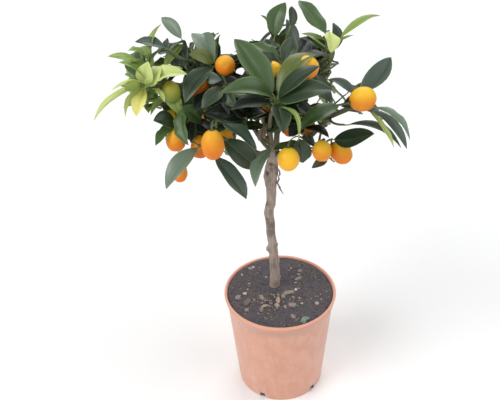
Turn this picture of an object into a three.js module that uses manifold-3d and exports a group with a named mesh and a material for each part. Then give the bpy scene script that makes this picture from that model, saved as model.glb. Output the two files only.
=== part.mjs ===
// A young kumquat tree in its nursery pot: pot, soil, trunk, boughs and masses of foliage with fruit.
// Millimetres, +Z up. The origin is the centre of the pot's flat underside; -Y is the tree's front.

import * as THREE from 'three';
import { mergeVertices } from 'three/addons/utils/BufferGeometryUtils.js';
import Module from 'manifold-3d';

const wasm = await Module();
wasm.setup();

// ---- Driving dimensions ------------------------------------------------------------------------

const GAP = 0.3;                 // clear space where two pieces meet
const CLEAR = 0.45;              // extra skin on a leaf, twig or fruit while its room is tested
const GOLDEN = 137.5;            // degrees from one leaf to the next round a shoot

const POT = {
  height: 182,
  rimRadius: 90,
  footRadius: 71.5,
  topRadius: 85.5,               // body of the pot, just under the rim band
  rimBand: 15,                   // height of the rim band
  beadRadius: 3.2,
  wall: 2.6,
  floor: 3,
  sides: 40,
  holes: 5,                      // drainage notches at the foot
  holeSize: 7,
  firstHole: -120,
};

const SOIL = { level: 175.5, mound: 2, moundRadius: 30, sides: 30 };

// Height, sideways place and radius of the trunk from its cut at the soil to its head.
const TRUNK = {
  sides: 12,
  rings: [
    [0, -8, 14, 11.5],
    [6, -8, 13, 9.2],
    [25, -7, 11, 7.9],
    [70, -9, 8, 7.2],
    [120, -13, 5, 7.0],
    [155, -15, 3, 6.9],
    [185, -12, 2, 7.4],
    [210, -13, 1, 8.9],
    [228, -12, 1, 9.4],
    [245, -10, 1, 7.8],
    [262, -9, 2, 6.4],
  ],
};

// Each bough: the limb it leaves, how far up that limb, its tip, root and tip radius, and its bow.
const BOUGHS = {
  bough_left: { from: 'trunk', at: 0.86, tip: [-92, -42, 500], radii: [5.2, 3.2], bow: [-6, -2, -16] },
  bough_right: { from: 'trunk', at: 0.87, tip: [50, -38, 490], radii: [5.0, 3.0], bow: [6, -4, -14] },
  bough_back: { from: 'trunk', at: 0.9, tip: [-12, 55, 495], radii: [5.0, 3.0], bow: [0, 8, -14] },
  bough_front: { from: 'trunk', at: 0.94, tip: [-14, -62, 505], radii: [4.2, 2.8], bow: [0, -8, -10] },
  bough_top: { from: 'trunk', at: 1, tip: [-3, 12, 522], radii: [4.6, 3.0], bow: [4, 3, 0] },
  bough_young: { from: 'bough_left', at: 0.72, tip: [-124, -34, 532], radii: [3.0, 2.2], bow: [-4, 4, -4] },
  bough_low_left: { from: 'bough_left', at: 0.45, tip: [-60, -70, 486], radii: [3.2, 2.3], bow: [0, -4, -5] },
  bough_upper_left: { from: 'bough_left', at: 0.3, tip: [-72, -8, 530], radii: [3.4, 2.4], bow: [-4, 4, 2] },
  bough_heart: { from: 'bough_front', at: 0.35, tip: [-34, -32, 488], radii: [3, 2.3], bow: [-3, 0, 0] },
  bough_low_right: { from: 'bough_right', at: 0.5, tip: [42, -52, 464], radii: [3, 2.2], bow: [2, -4, -3] },
  bough_upper_right: { from: 'bough_top', at: 0.3, tip: [42, 14, 520], radii: [3.6, 2.6], bow: [4, 2, -4] },
  bough_back_left: { from: 'bough_back', at: 0.35, tip: [-66, 48, 488], radii: [3.6, 2.6], bow: [-4, 4, -4] },
  bough_back_right: { from: 'bough_back', at: 0.5, tip: [36, 62, 486], radii: [3.4, 2.5], bow: [2, 4, -4] },
};
const BOUGH_SIDES = 6;
const BOUGH_STEPS = 4;

const TWIG = { sides: 3, stemTip: 1.9, root: 1.8, tip: 1.3, straight: 34, spacing: 2.2, stalk: 1.1 };

const LEAF = {
  breadth: 0.38,                 // width over length
  arch: 0.07,                    // rise of the middle over length
  lean: 0.5,                     // how far a leaf turns its face outward from straight up
  root: 0.9,                     // half width of the foot
  keel: [0.35, 0.017],           // depth of the midrib: fixed part, and part of the length
  leading: [[0.3, 0.94], [0.66, 0.86]],
  filling: [[0.45, 1.1]],
  bare: 0.22,                    // share of a filling leaf, from its foot, that may meet its own mass
};

const FRUIT = { length: 34, width: 26, sides: 6, rings: 5, hang: 24 };

// A filling tuft: leaves round a short shoot, dealt by the golden angle.
const FILL = { leaves: 5, length: 66, spacing: 6.5, opening: [30, 80], room: 24, out: 0.46 };
const FILL_FRUIT = { each: 3, behind: 30 };    // one tuft in three bears a fruit, behind the trunk only

// The masses of foliage. Each leaves one bough's tip on a stem that ends at its heart. Fill tufts keep
// to its space (centre, reach). A tuft has its tip, the way its shoot points and its leading leaves:
// turn (degrees from +X, seen from above), rise (degrees up), length, breadth, roll and arch.
// A fruit has its centre, the turn and rise of its far end, its length and its width.
const MASSES = [
  {
    name: 'foliage_young', bough: 'bough_young', heart: [-152, -52, 556],
    space: [[-146, -28, 560], [66, 60, 50]], fill: 2,
    tufts: [
      { tip: [-163, -60, 567], aim: [165, 30], leaves: [
        [-138, -11, 82, 0.24, 20, 0.16], [-108, -29, 43, 0.46], [163, -12, 49, 0.26, 0, 0.2],
        [-178, -48, 49, 0.24, 0, 0.14], [149, 28, 63, 0.26, 0, 0.12], [-140, 51, 50, 0.46],
        [-85, 70, 38, 0.5], [69, 34, 42, 0.5], [-14, 20, 56, 0.34, -30, 0.16],
      ] },
      { tip: [-163, -40, 598], aim: [120, 70], leaves: [[66, 38, 46, 0.28], [-133, 31, 28, 0.5]] },
    ],
    fruits: [[-180, -68, 573, 200, 0, 18, 15]],
  },
  {
    name: 'foliage_left', bough: 'bough_left', heart: [-116, -64, 532],
    space: [[-120, -40, 528], [66, 62, 52]], fill: 4,
    tufts: [
      { tip: [-123, -75, 547], aim: [-110, 60], leaves: [
        [-41, -21, 38, 0.56], [-79, -37, 52, 0.4], [-133, 66, 42, 0.5], [168, -14, 52, 0.36],
        [132, 31, 40, 0.3, 40],
      ] },
      { tip: [-131, -70, 522], aim: [-150, 20], leaves: [[-142, 20, 34, 0.5], [168, -46, 48, 0.34]] },
    ],
    fruits: [
      [-131, -92, 507, -100, -60, 32, 27], [-130, -86, 455, -90, -75, 28, 22],
    ],
  },
  {
    name: 'foliage_low_left', bough: 'bough_low_left', heart: [-80, -92, 510],
    space: [[-70, -66, 506], [74, 64, 52]], fill: 5,
    tufts: [
      { tip: [-98, -95, 505], aim: [-160, 0], leaves: [[-130, -23, 76, 0.34, 0, 0.12]] },
      { tip: [-75, -100, 520], aim: [-80, 20], leaves: [
        [-35, -8, 56, 0.42], [-68, -40, 82, 0.38], [38, -34, 72, 0.4],
      ] },
    ],
    fruits: [
      [-84, -130, 521, -90, -80, 37, 27], [-102, -84, 494, -120, -60, 30, 25],
      [-66, -96, 503, -60, -70, 32, 25],
    ],
  },
  {
    name: 'foliage_upper_left', bough: 'bough_upper_left', heart: [-100, -16, 570],
    space: [[-98, 5, 556], [82, 72, 54]], fill: 6,
    tufts: [
      { tip: [-121, 0, 592], aim: [140, 50], leaves: [[136, 37, 50, 0.42], [40, 20, 44, 0.4]] },
      { tip: [-138, -35, 592], aim: [170, 40], leaves: [
        [-24, 43, 37, 0.42], [156, 19, 46, 0.34], [128, 18, 26, 0.4],
      ] },
      { tip: [-81, -30, 583], aim: [-150, 50], leaves: [
        [-131, -26, 64, 0.36], [112, 36, 48, 0.66], [77, 37, 43, 0.36], [129, 33, 49, 0.4],
        [-146, 36, 38, 0.6, 0, 0.16],
      ] },
      { tip: [-72, -66, 567], aim: [-110, 30], leaves: [[-134, -12, 46, 0.44], [-149, 32, 32, 0.5]] },
    ],
    fruits: [[-67, -50, 587, -90, 20, 28, 26], [-102, -30, 551, -90, -60, 30, 25]],
  },
  {
    name: 'foliage_front', bough: 'bough_front', heart: [-11, -104, 552],
    space: [[-14, -74, 548], [82, 66, 58]], fill: 5,
    tufts: [
      { tip: [-10, -120, 571], aim: [-90, 66], leaves: [
        [131, 40, 88, 0.42], [-160, 17, 68, 0.34, -30], [48, 34, 71, 0.32, 20], [-24, 46, 68, 0.3, 20],
        [-28, 23, 74, 0.42], [-71, -28, 58, 0.48, -20], [-144, 5, 50, 0.4],
      ] },
    ],
    fruits: [[-12, -92, 594, -60, 30, 30, 26], [28, -84, 592, -60, 20, 32, 28]],
  },
  {
    name: 'foliage_heart', bough: 'bough_heart', heart: [-34, -36, 530],
    space: [[-40, -22, 524], [78, 70, 62]], fill: 7,
    tufts: [
      { tip: [-12, -62, 478], aim: [-60, 10], leaves: [[-119, -35, 56, 0.38], [150, 32, 46, 0.3, 50]] },
    ],
    fruits: [[-22, -24, 510, -90, -80, 28, 25], [-66, -34, 503, -90, -80, 28, 25]],
  },
  {
    name: 'foliage_top', bough: 'bough_top', heart: [-3, 6, 572],
    space: [[-8, 28, 556], [82, 72, 56]], fill: 6,
    tufts: [
      { tip: [0, -40, 582], aim: [-90, 40], leaves: [[141, 19, 44, 0.42], [143, 19, 58, 0.3]] },
      { tip: [0, 5, 593], aim: [60, 70], leaves: [
        [73, 41, 60, 0.46], [58, 39, 54, 0.34], [148, -15, 34, 0.5],
      ] },
    ],
    fruits: [],
  },
  {
    name: 'foliage_upper_right', bough: 'bough_upper_right', heart: [62, 14, 556],
    space: [[62, 38, 542], [60, 62, 56]], fill: 5,
    tufts: [
      { tip: [66, 15, 574], aim: [60, 70], leaves: [
        [128, 43, 80, 0.34, 0, 0.04], [-85, 72, 38, 0.56, 180], [83, 39, 46, 0.42], [-176, 34, 50, 0.38],
      ] },
      { tip: [80, 25, 583], aim: [30, 50], leaves: [[25, 23, 70, 0.24], [35, 11, 23, 0.3]] },
    ],
    fruits: [],
  },
  {
    name: 'foliage_right', bough: 'bough_right', heart: [82, -66, 536],
    space: [[76, -34, 520], [70, 60, 50]], fill: 4,
    tufts: [
      { tip: [89, -72, 556], aim: [60, 60], leaves: [
        [34, 30, 63, 0.44], [138, 13, 42, 0.4], [-120, -7, 30, 0.5],
      ] },
      { tip: [102, -80, 533], aim: [-40, 10], leaves: [
        [-46, -10, 68, 0.3, 0, 0.16], [-52, -20, 72, 0.26, 20, 0.14], [-58, -28, 58, 0.26, 70, 0.1],
      ] },
      { tip: [76, -75, 535], aim: [-120, 0], leaves: [[-155, -11, 68, 0.38, 0, 0.12]] },
    ],
    fruits: [[97, -96, 553, 10, 10, 33, 29]],
  },
  {
    name: 'foliage_low_right', bough: 'bough_low_right', heart: [60, -58, 480],
    space: [[42, -30, 482], [64, 56, 44]], fill: 4,
    tufts: [
      { tip: [69, -60, 492], aim: [0, 30], leaves: [[-30, 18, 58, 0.42], [9, -4, 50, 0.3, 50]] },
      { tip: [22, -58, 490], aim: [-150, 30], leaves: [[-85, -26, 46, 0.6], [24, -36, 36, 0.44]] },
      { tip: [61, -62, 459], aim: [-60, -40], leaves: [[-141, -6, 30, 0.4]] },
    ],
    fruits: [
      [51, -74, 474, -90, -60, 28, 25], [78, -62, 466, -20, -45, 34, 27], [8, -84, 469, -90, -75, 29, 26],
      [14, -34, 492, -90, -60, 28, 25], [34, -20, 482, -90, -60, 28, 24],
    ],
  },
  {
    name: 'foliage_back', bough: 'bough_back', heart: [-13, 88, 514],
    space: [[-14, 96, 506], [92, 84, 62]], fill: 9, tufts: [], fruits: [],
  },
  {
    name: 'foliage_back_left', bough: 'bough_back_left', heart: [-94, 66, 512],
    space: [[-96, 70, 510], [88, 84, 62]], fill: 9, tufts: [], fruits: [],
  },
  {
    name: 'foliage_back_right', bough: 'bough_back_right', heart: [50, 88, 502],
    space: [[52, 92, 498], [78, 80, 62]], fill: 8, tufts: [], fruits: [],
  },
];

const COLOURS = {
  pot: { color: 0xd99a82, roughness: 0.6, metalness: 0 },
  soil: { color: 0x4a4340, roughness: 0.95, metalness: 0 },
  bark: { color: 0x8c7b6c, roughness: 0.85, metalness: 0 },
  foliage: { color: 0x3f5f3a, roughness: 0.45, metalness: 0 },
  foliage_young: { color: 0x9dbb55, roughness: 0.45, metalness: 0 },
};

// ---- Vectors, chance and solids ----------------------------------------------------------------

const UP = new THREE.Vector3(0, 0, 1);
const CROWN_AXIS = new THREE.Vector3(-10, 0, 0);
const vector = (point) => new THREE.Vector3(...point);
const radians = THREE.MathUtils.degToRad;

// Unit vector of a compass turn and a rise.
function heading(turn, rise) {
  return new THREE.Vector3(1, 0, 0).applyAxisAngle(new THREE.Vector3(0, -1, 0), radians(rise))
    .applyAxisAngle(UP, radians(turn));
}

// Repeatable number from 0 to 1 for three whole numbers.
function chance(mass, tuft, draw) {
  const wave = Math.sin(mass * 12.9898 + tuft * 78.233 + draw * 37.719) * 43758.5453;
  return wave - Math.floor(wave);
}

// Turns a closed geometry into a solid.
function solidOf(geometry) {
  geometry.deleteAttribute('normal');
  geometry.deleteAttribute('uv');
  const merged = mergeVertices(geometry);
  const vertProperties = new Float32Array(merged.attributes.position.array);
  const triVerts = new Uint32Array(merged.index.array);
  return new wasm.Manifold(new wasm.Mesh({ numProp: 3, vertProperties, triVerts }));
}

// Moves every point of a geometry by a rule.
function reshape(geometry, rule) {
  const position = geometry.attributes.position;
  for (let i = 0; i < position.count; i += 1) {
    const moved = rule(new THREE.Vector3().fromBufferAttribute(position, i));
    position.setXYZ(i, moved.x, moved.y, moved.z);
  }
  return geometry;
}

// A round limb along a curve, its radius given at each share of its length.
function limbSolid(curve, radiusAt, sides, steps) {
  const frames = curve.computeFrenetFrames(steps, false);
  const rule = (p) => {
    const share = p.y + 0.5;
    const k = Math.round(share * steps);
    const across = frames.normals[k].clone().multiplyScalar(p.x);
    across.addScaledVector(frames.binormals[k], -p.z);
    return curve.getPointAt(share).addScaledVector(across, radiusAt(share));
  };
  return solidOf(reshape(new THREE.CylinderGeometry(1, 1, 1, sides, steps), rule));
}

// The largest body of a fused solid: loose scraps and sealed hollows are left behind.
function mainBody(solid) {
  return solid.decompose().reduce((best, body) => (body.volume() > best.volume() ? body : best));
}

function meshOf(name, solid, material) {
  const { vertProperties, triVerts } = solid.getMesh();
  const geometry = new THREE.BufferGeometry();
  geometry.setAttribute('position', new THREE.BufferAttribute(new Float32Array(vertProperties), 3));
  geometry.setIndex(new THREE.BufferAttribute(new Uint32Array(triVerts), 1));
  geometry.computeVertexNormals();
  const mesh = new THREE.Mesh(geometry, new THREE.MeshStandardMaterial(material));
  mesh.name = name;
  return mesh;
}

// ---- Pot and soil ------------------------------------------------------------------------------

const bodySlope = (POT.topRadius - POT.footRadius) / (POT.height - POT.rimBand);
const bodyRadius = (z) => POT.footRadius + bodySlope * z;

// A ring profile (radius, height) turned round the pot's axis.
function turned(profile, sides) {
  const geometry = new THREE.LatheGeometry(profile.map(([r, z]) => new THREE.Vector2(r, z)), sides);
  return solidOf(geometry.rotateX(Math.PI / 2));
}

function potSolid() {
  const { height, rimRadius, rimBand, beadRadius, wall, floor } = POT;
  const bandFoot = height - rimBand;
  const inner = rimRadius - 2 * beadRadius;
  const profile = [
    [0, 0],
    [bodyRadius(0), 0],
    [bodyRadius(bandFoot), bandFoot],
    [rimRadius - 2.6, bandFoot + 0.4],
    [rimRadius - 2.0, height - 2 * beadRadius - 1],
    [rimRadius, height - 1.6 * beadRadius],
    [rimRadius, height - 0.6 * beadRadius],
    [rimRadius - beadRadius, height],
    [inner, height - 0.8 * beadRadius],
    [bodyRadius(bandFoot) - wall, bandFoot - 4],
    [bodyRadius(0) - wall, floor],
    [0, floor],
  ];
  let pot = turned(profile, POT.sides);
  for (let i = 0; i < POT.holes; i += 1) {
    const notch = new THREE.BoxGeometry(4 * POT.wall, POT.holeSize, 2 * POT.holeSize);
    notch.translate(POT.footRadius, 0, 0);
    notch.rotateZ(radians(POT.firstHole + (360 / POT.holes) * i));
    pot = pot.subtract(solidOf(notch));
  }
  return mainBody(pot);
}

function soilSolid() {
  const { height, rimBand, wall, floor } = POT;
  const innerRadius = (z) => bodyRadius(z) - wall - GAP;
  const bandFoot = height - rimBand;
  const shoulder = innerRadius(bandFoot - 4) - 0.2;
  return turned([
    [0, floor + GAP],
    [innerRadius(floor) - 0.2, floor + GAP],
    [shoulder, bandFoot - 4],
    [shoulder, SOIL.level],
    [SOIL.moundRadius, SOIL.level + 0.5],
    [SOIL.moundRadius / 2, SOIL.level + SOIL.mound],
    [0, SOIL.level + SOIL.mound],
  ], SOIL.sides);
}

// ---- Trunk and boughs --------------------------------------------------------------------------

const soilTop = SOIL.level + SOIL.mound;
const trunkFoot = soilTop + GAP;
const trunkHeight = TRUNK.rings.at(-1)[0];

// The trunk's centre line and radius at a share of its height.
function trunkAt(share, column) {
  const z = share * trunkHeight;
  const upper = Math.max(1, TRUNK.rings.findIndex((ring) => ring[0] >= z - 1e-6));
  const [low, high] = [TRUNK.rings[upper - 1], TRUNK.rings[upper]];
  const blend = THREE.MathUtils.smoothstep(z, low[0], high[0]);
  return THREE.MathUtils.lerp(low[column], high[column], blend);
}

function trunkPoint(share) {
  return new THREE.Vector3(trunkAt(share, 1), trunkAt(share, 2), trunkFoot + share * trunkHeight);
}

// Level rings, so that the foot is cut flat where the tree leaves the soil.
function trunkSolid(skin) {
  const steps = 13;
  const rule = (p) => {
    const share = p.y + 0.5;
    const centre = trunkPoint(share);
    const radius = trunkAt(share, 3) + skin;
    return new THREE.Vector3(centre.x + p.x * radius, centre.y - p.z * radius, centre.z);
  };
  return solidOf(reshape(new THREE.CylinderGeometry(1, 1, 1, TRUNK.sides, steps), rule));
}

const limbs = { trunk: { pointAt: trunkPoint, solid: trunkSolid(0), grown: trunkSolid(GAP) } };

function growBough(name) {
  const { from, at, tip, radii, bow } = BOUGHS[name];
  const start = limbs[from].pointAt(at);
  const end = vector(tip);
  const middle = start.clone().lerp(end, 0.5).add(vector(bow));
  const curve = new THREE.QuadraticBezierCurve3(start, middle, end);
  const radiusAt = (skin) => (share) => THREE.MathUtils.lerp(radii[0], radii[1], share) + skin;
  let solid = limbSolid(curve, radiusAt(0), BOUGH_SIDES, BOUGH_STEPS);
  for (const other of Object.values(limbs)) solid = solid.subtract(other.grown);
  limbs[name] = {
    pointAt: (share) => curve.getPointAt(share),
    wayAt: (share) => curve.getTangentAt(share),
    tipRadius: radii[1],
    solid: mainBody(solid),
    grown: limbSolid(curve, radiusAt(GAP), BOUGH_SIDES, BOUGH_STEPS),
  };
}

Object.keys(BOUGHS).forEach(growBough);

// ---- Twigs, leaves and fruit -------------------------------------------------------------------

const pieces = Object.values(limbs).map(({ solid }) => ({ mass: null, solid, box: solid.boundingBox() }));

// True where a solid touches no limb and nothing of another mass.
function hasRoom(solid, mass) {
  const { min, max } = solid.boundingBox();
  const near = ({ box }) => [0, 1, 2].every((i) => box.min[i] < max[i] && box.max[i] > min[i]);
  const others = pieces.filter((other) => other.mass !== mass && near(other));
  return others.every((other) => other.solid.intersect(solid).isEmpty());
}

// True where the blade of a leaf, past its bare foot, touches nothing at all.
function bladeHasRoom(leaf) {
  const bare = LEAF.bare * leaf.length;
  const foot = leaf.foot.clone().addScaledVector(leaf.run, bare);
  return hasRoom(leafSolid({ ...leaf, foot, length: leaf.length - bare }, 0), undefined);
}

// Adds a piece to its mass if the piece, with its clear skin, has room.
function addPiece(mass, shape) {
  if (!hasRoom(shape(CLEAR), mass)) return false;
  const solid = shape(0);
  pieces.push({ mass, solid, box: solid.boundingBox() });
  return true;
}

// The wood of a mass: points along its twigs that later twigs and stalks may leave from.
function addWood(mass, curve) {
  const steps = Math.max(2, Math.round(curve.getLength() / 8));
  for (let i = 1; i <= steps; i += 1) mass.wood.push(curve.getPointAt(i / steps));
}

function nearestWood(mass, point) {
  return mass.wood.reduce((best, p) => (p.distanceTo(point) < best.distanceTo(point) ? p : best));
}

function growStem(mass) {
  const bough = limbs[mass.bough];
  const way = bough.wayAt(1);
  const start = bough.pointAt(1).addScaledVector(way, GAP);
  const end = vector(mass.heart);
  const middle = start.clone().addScaledVector(way, start.distanceTo(end) / 2);
  const curve = new THREE.QuadraticBezierCurve3(start, middle, end);
  const radiusAt = (share) => THREE.MathUtils.lerp(bough.tipRadius, TWIG.stemTip, share);
  const solid = limbSolid(curve, radiusAt, 4, 3);
  pieces.push({ mass: mass.name, solid, box: solid.boundingBox() });
  mass.wood = [];
  addWood(mass, curve);
}

// A shoot from the nearest wood to the tuft's tip, along the tuft's own way at its end.
function growShoot(mass, tip, way) {
  const start = nearestWood(mass, tip.clone().addScaledVector(way, -TWIG.straight));
  const bend = Math.min(TWIG.straight, start.distanceTo(tip) / 2);
  const curve = new THREE.QuadraticBezierCurve3(start, tip.clone().addScaledVector(way, -bend), tip);
  const radiusAt = (skin) => (share) => THREE.MathUtils.lerp(TWIG.root, TWIG.tip, share) + skin;
  if (!addPiece(mass.name, (skin) => limbSolid(curve, radiusAt(skin), TWIG.sides, 2))) return false;
  addWood(mass, curve);
  return true;
}

// A leaf from its foot along its run: a flat face over a shallow keel, arched along its length.
function leafSolid(leaf, skin) {
  const { foot, run, face, length, breadth, arch, stations } = leaf;
  const side = new THREE.Vector3().crossVectors(face, run);
  const [fixed, share] = LEAF.keel;
  const rows = [[0, 0], ...stations, [1, 0]];
  const rule = (p) => {
    const k = Math.round((p.y + 0.5) * (rows.length - 1));
    const [along, fullness] = rows[k];
    const tip = k === rows.length - 1;
    const halfWidth = tip ? 0 : Math.max(LEAF.root, (fullness * breadth * length) / 2) + skin;
    const keel = tip ? 0 : fixed + share * length + skin;
    const rise = 4 * arch * length * along * (1 - along);
    const spread = tip ? 0 : Math.sign(Math.round(p.x * 100)) * halfWidth;
    const depth = spread === 0 && !tip ? keel : -skin;
    const point = foot.clone().addScaledVector(run, along * length + (tip ? skin : 0));
    return point.addScaledVector(side, spread).addScaledVector(face, rise - depth);
  };
  return solidOf(reshape(new THREE.ConeGeometry(1, 1, 3, rows.length - 1), rule));
}

// The upper side of a leaf turns up and outward, as far as its run allows.
function faceOf(run, foot, roll) {
  const outward = foot.clone().sub(CROWN_AXIS).setZ(0).normalize();
  const light = UP.clone().addScaledVector(outward, LEAF.lean);
  return light.addScaledVector(run, -light.dot(run)).normalize().applyAxisAngle(run, radians(roll));
}

function leafOf(foot, run, length, breadth, roll, arch, stations) {
  return { foot, run, face: faceOf(run, foot, roll), length, breadth, arch, stations };
}

function fruitSolid(centre, way, length, width, skin) {
  const geometry = new THREE.SphereGeometry(1, FRUIT.sides, FRUIT.rings);
  geometry.scale(width / 2 + skin, length / 2 + skin, width / 2 + skin);
  geometry.applyQuaternion(new THREE.Quaternion().setFromUnitVectors(new THREE.Vector3(0, 1, 0), way));
  return solidOf(geometry.translate(centre.x, centre.y, centre.z));
}

// A fruit on a stalk from the nearest wood to its upper end.
function addFruit(mass, centre, way, length, width) {
  if (!addPiece(mass.name, (skin) => fruitSolid(centre, way, length, width, skin))) return;
  const crown = centre.clone().addScaledVector(way, -length / 2);
  const start = nearestWood(mass, crown);
  const stalk = new THREE.LineCurve3(start, crown.addScaledVector(way, 3));
  const solid = limbSolid(stalk, () => TWIG.stalk, TWIG.sides, 1);
  pieces.push({ mass: mass.name, solid, box: solid.boundingBox() });
}

function growLeadingTuft(mass, { tip, aim, leaves }) {
  const end = vector(tip);
  const way = heading(...aim);
  if (!growShoot(mass, end, way)) return;
  leaves.forEach(([turn, rise, length, breadth = LEAF.breadth, roll = 0, arch = LEAF.arch], i) => {
    const foot = end.clone().addScaledVector(way, -TWIG.spacing * i);
    const reach = end.clone().addScaledVector(heading(turn, rise), length).sub(foot);
    const stretch = reach.length();
    const slender = (breadth * length) / stretch;
    const leaf = leafOf(foot, reach.normalize(), stretch, slender, roll, arch, LEAF.leading);
    addPiece(mass.name, (skin) => leafSolid(leaf, skin));
  });
}

// ---- Filling tufts -----------------------------------------------------------------------------

const tips = MASSES.flatMap((mass) => mass.tufts.map((tuft) => vector(tuft.tip)));

const inSpace = ([centre, reach], point) =>
  vector(centre).sub(point).divide(vector(reach)).length() < 1;

function growFillingTuft(mass, seed, k) {
  const [middle, reach] = mass.space;
  const level = 1 - (2 * k + 1) / mass.fill;
  const turn = GOLDEN * k + 360 * chance(seed, 0, 0);
  const spot = heading(turn, THREE.MathUtils.radToDeg(Math.asin(level)));
  const end = vector(reach).multiply(spot).multiplyScalar(FILL.out * (0.85 + 0.3 * chance(seed, k, 1)));
  end.add(vector(middle));
  if (tips.some((other) => other.distanceTo(end) < FILL.room)) return;
  const way = spot.clone().addScaledVector(UP, 0.5).normalize();
  if (!growShoot(mass, end, way)) return;
  tips.push(end);
  const side = new THREE.Vector3().crossVectors(way, heading(turn + 90, 0)).normalize();
  for (let i = 0; i < FILL.leaves; i += 1) {
    for (const retry of [0, 1, 2]) {
      const spin = radians(GOLDEN * i + 50 * retry + 40 * chance(seed, k, 10 + i));
      const share = i / (FILL.leaves - 1);
      const opening = radians(THREE.MathUtils.lerp(...FILL.opening, share));
      const away = side.clone().applyAxisAngle(way, spin);
      const run = way.clone().multiplyScalar(Math.cos(opening)).addScaledVector(away, Math.sin(opening));
      const length = FILL.length * (0.74 + 0.4 * chance(seed, k, 20 + i)) * (1 - 0.12 * retry);
      const foot = end.clone().addScaledVector(way, -FILL.spacing * i);
      const leaf = leafOf(foot, run, length, LEAF.breadth, 0, LEAF.arch, LEAF.filling);
      const fits = inSpace(mass.space, foot.clone().addScaledVector(run, length));
      if (fits && bladeHasRoom(leaf) && addPiece(mass.name, (skin) => leafSolid(leaf, skin))) break;
    }
  }
  if (k % FILL_FRUIT.each === 1 && end.y > FILL_FRUIT.behind) {
    const centre = end.clone().addScaledVector(way, -8).addScaledVector(UP, -FRUIT.hang);
    addFruit(mass, centre, heading(turn, -80), FRUIT.length, FRUIT.width);
  }
}

// ---- The tree ----------------------------------------------------------------------------------

MASSES.forEach(growStem);
MASSES.forEach((mass) => mass.tufts.forEach((tuft) => growLeadingTuft(mass, tuft)));
MASSES.forEach((mass) => mass.fruits.forEach(([x, y, z, turn, rise, length, width]) => {
  addFruit(mass, new THREE.Vector3(x, y, z), heading(turn, rise), length, width);
}));
MASSES.forEach((mass, seed) => {
  for (let k = 0; k < mass.fill; k += 1) growFillingTuft(mass, seed + 1, k);
});

const tree = new THREE.Group();
tree.add(meshOf('pot', potSolid(), COLOURS.pot));
tree.add(meshOf('soil', soilSolid(), COLOURS.soil));
Object.entries(limbs).forEach(([name, limb]) => tree.add(meshOf(name, limb.solid, COLOURS.bark)));
MASSES.forEach(({ name }) => {
  const own = pieces.filter((piece) => piece.mass === name).map((piece) => piece.solid);
  const fused = own.reduce((whole, solid) => whole.add(solid));
  tree.add(meshOf(name, mainBody(fused), COLOURS[name] ?? COLOURS.foliage));
});

export default tree;
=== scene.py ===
"""A young kumquat tree in its nursery pot: pot, soil, trunk and boughs, twigs, leaves and fruit.

Tables are in millimetres, with the pot's underside at z = 0 and -Y as the tree's front. Meshes are
in metres.
"""

import functools
import math

import bpy
import numpy as np
from bpy.props import FloatProperty, FloatVectorProperty, IntProperty, PointerProperty
from mathutils import Matrix, Vector, noise
from mathutils.bvhtree import BVHTree


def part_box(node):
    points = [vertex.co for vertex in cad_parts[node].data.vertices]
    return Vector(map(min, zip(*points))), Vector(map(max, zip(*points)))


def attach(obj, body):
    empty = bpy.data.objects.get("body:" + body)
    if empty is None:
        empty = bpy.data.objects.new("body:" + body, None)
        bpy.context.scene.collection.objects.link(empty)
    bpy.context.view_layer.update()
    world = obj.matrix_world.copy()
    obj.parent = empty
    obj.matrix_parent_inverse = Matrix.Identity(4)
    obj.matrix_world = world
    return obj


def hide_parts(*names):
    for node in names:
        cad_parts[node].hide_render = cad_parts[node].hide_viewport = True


bl_info = {
    "name": "Potted kumquat tree",
    "version": (1, 0, 0),
    "blender": (4, 5, 0),
    "location": "View3D > Sidebar > Kumquat",
    "description": "Builds a potted kumquat tree piece by piece around its fixed frame",
    "category": "Add Mesh",
}

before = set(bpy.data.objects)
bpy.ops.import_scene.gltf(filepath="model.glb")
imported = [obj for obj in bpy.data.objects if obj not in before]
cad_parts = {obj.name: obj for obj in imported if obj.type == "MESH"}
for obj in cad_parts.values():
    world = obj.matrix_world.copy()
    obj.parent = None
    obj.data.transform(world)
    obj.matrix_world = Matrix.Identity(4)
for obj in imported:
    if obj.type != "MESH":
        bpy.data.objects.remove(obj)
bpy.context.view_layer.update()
POT_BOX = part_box("pot")

MM = 0.001
GOLDEN = 137.5  # degrees from one leaf to the next round a shoot
UP = Vector((0, 0, 1))
CROWN_AXIS = Vector((-10, 0, 0))  # the place that leaves turn away from

# ---- The tree's measures -----------------------------------------------------------------------

# The soil's foot, top and radius, the gap that keeps it off the pot's wall, the length and height of
# its unevenness, its mound at the stem, its fall at the rim and its rise at the back.
SOIL_FOOT, SOIL_TOP, SOIL_RADIUS, SOIL_GAP = 3.4, 178.4, 84.4, 0.3
SOIL_WAVES = ((26, 1.3), (9, 0.8), (3.2, 0.5))
MOUND = dict(place=(-8, 14), spread=500, height=2.2)
RIM_FALL = dict(start=72, width=12, depth=1.2)
BACK_RISE = dict(reach=84, height=3.0)

TRUNK_FOOT = 177.8

# The bark's unevenness: its size across, deep and along, and its share. Above a height it is weaker.
BARK_WAVES = (((7, 7, 16), 1.1), ((1.7, 1.7, 9), 0.55), ((1.1, 1.1, 1.6), 0.3))
SLIM_WOOD = dict(start=430, width=40, loss=0.6)
YOUNG_WOOD = (425, 465)  # the heights between which old bark turns into young

# The trunk from its foot to its head: height over the foot, place along X and along Y, and radius.
TRUNK_RINGS = [
    [0, -7.5, 15, 9.8],
    [6, -7.5, 14, 8.7],
    [25, -7, 11, 7.8],
    [70, -9, 8, 7.2],
    [120, -13, 5, 7.0],
    [155, -15, 3, 6.9],
    [183, -11.5, 2, 7.0],
    [196, -11.5, 2, 7.4],
    [208, -12, 1, 9.0],
    [228, -11, 1, 9.6],
    [240, -9.5, 1, 8.6],
    [248, -8, 1, 6.8],
    [262, -4, 2, 4.8],
]

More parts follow.
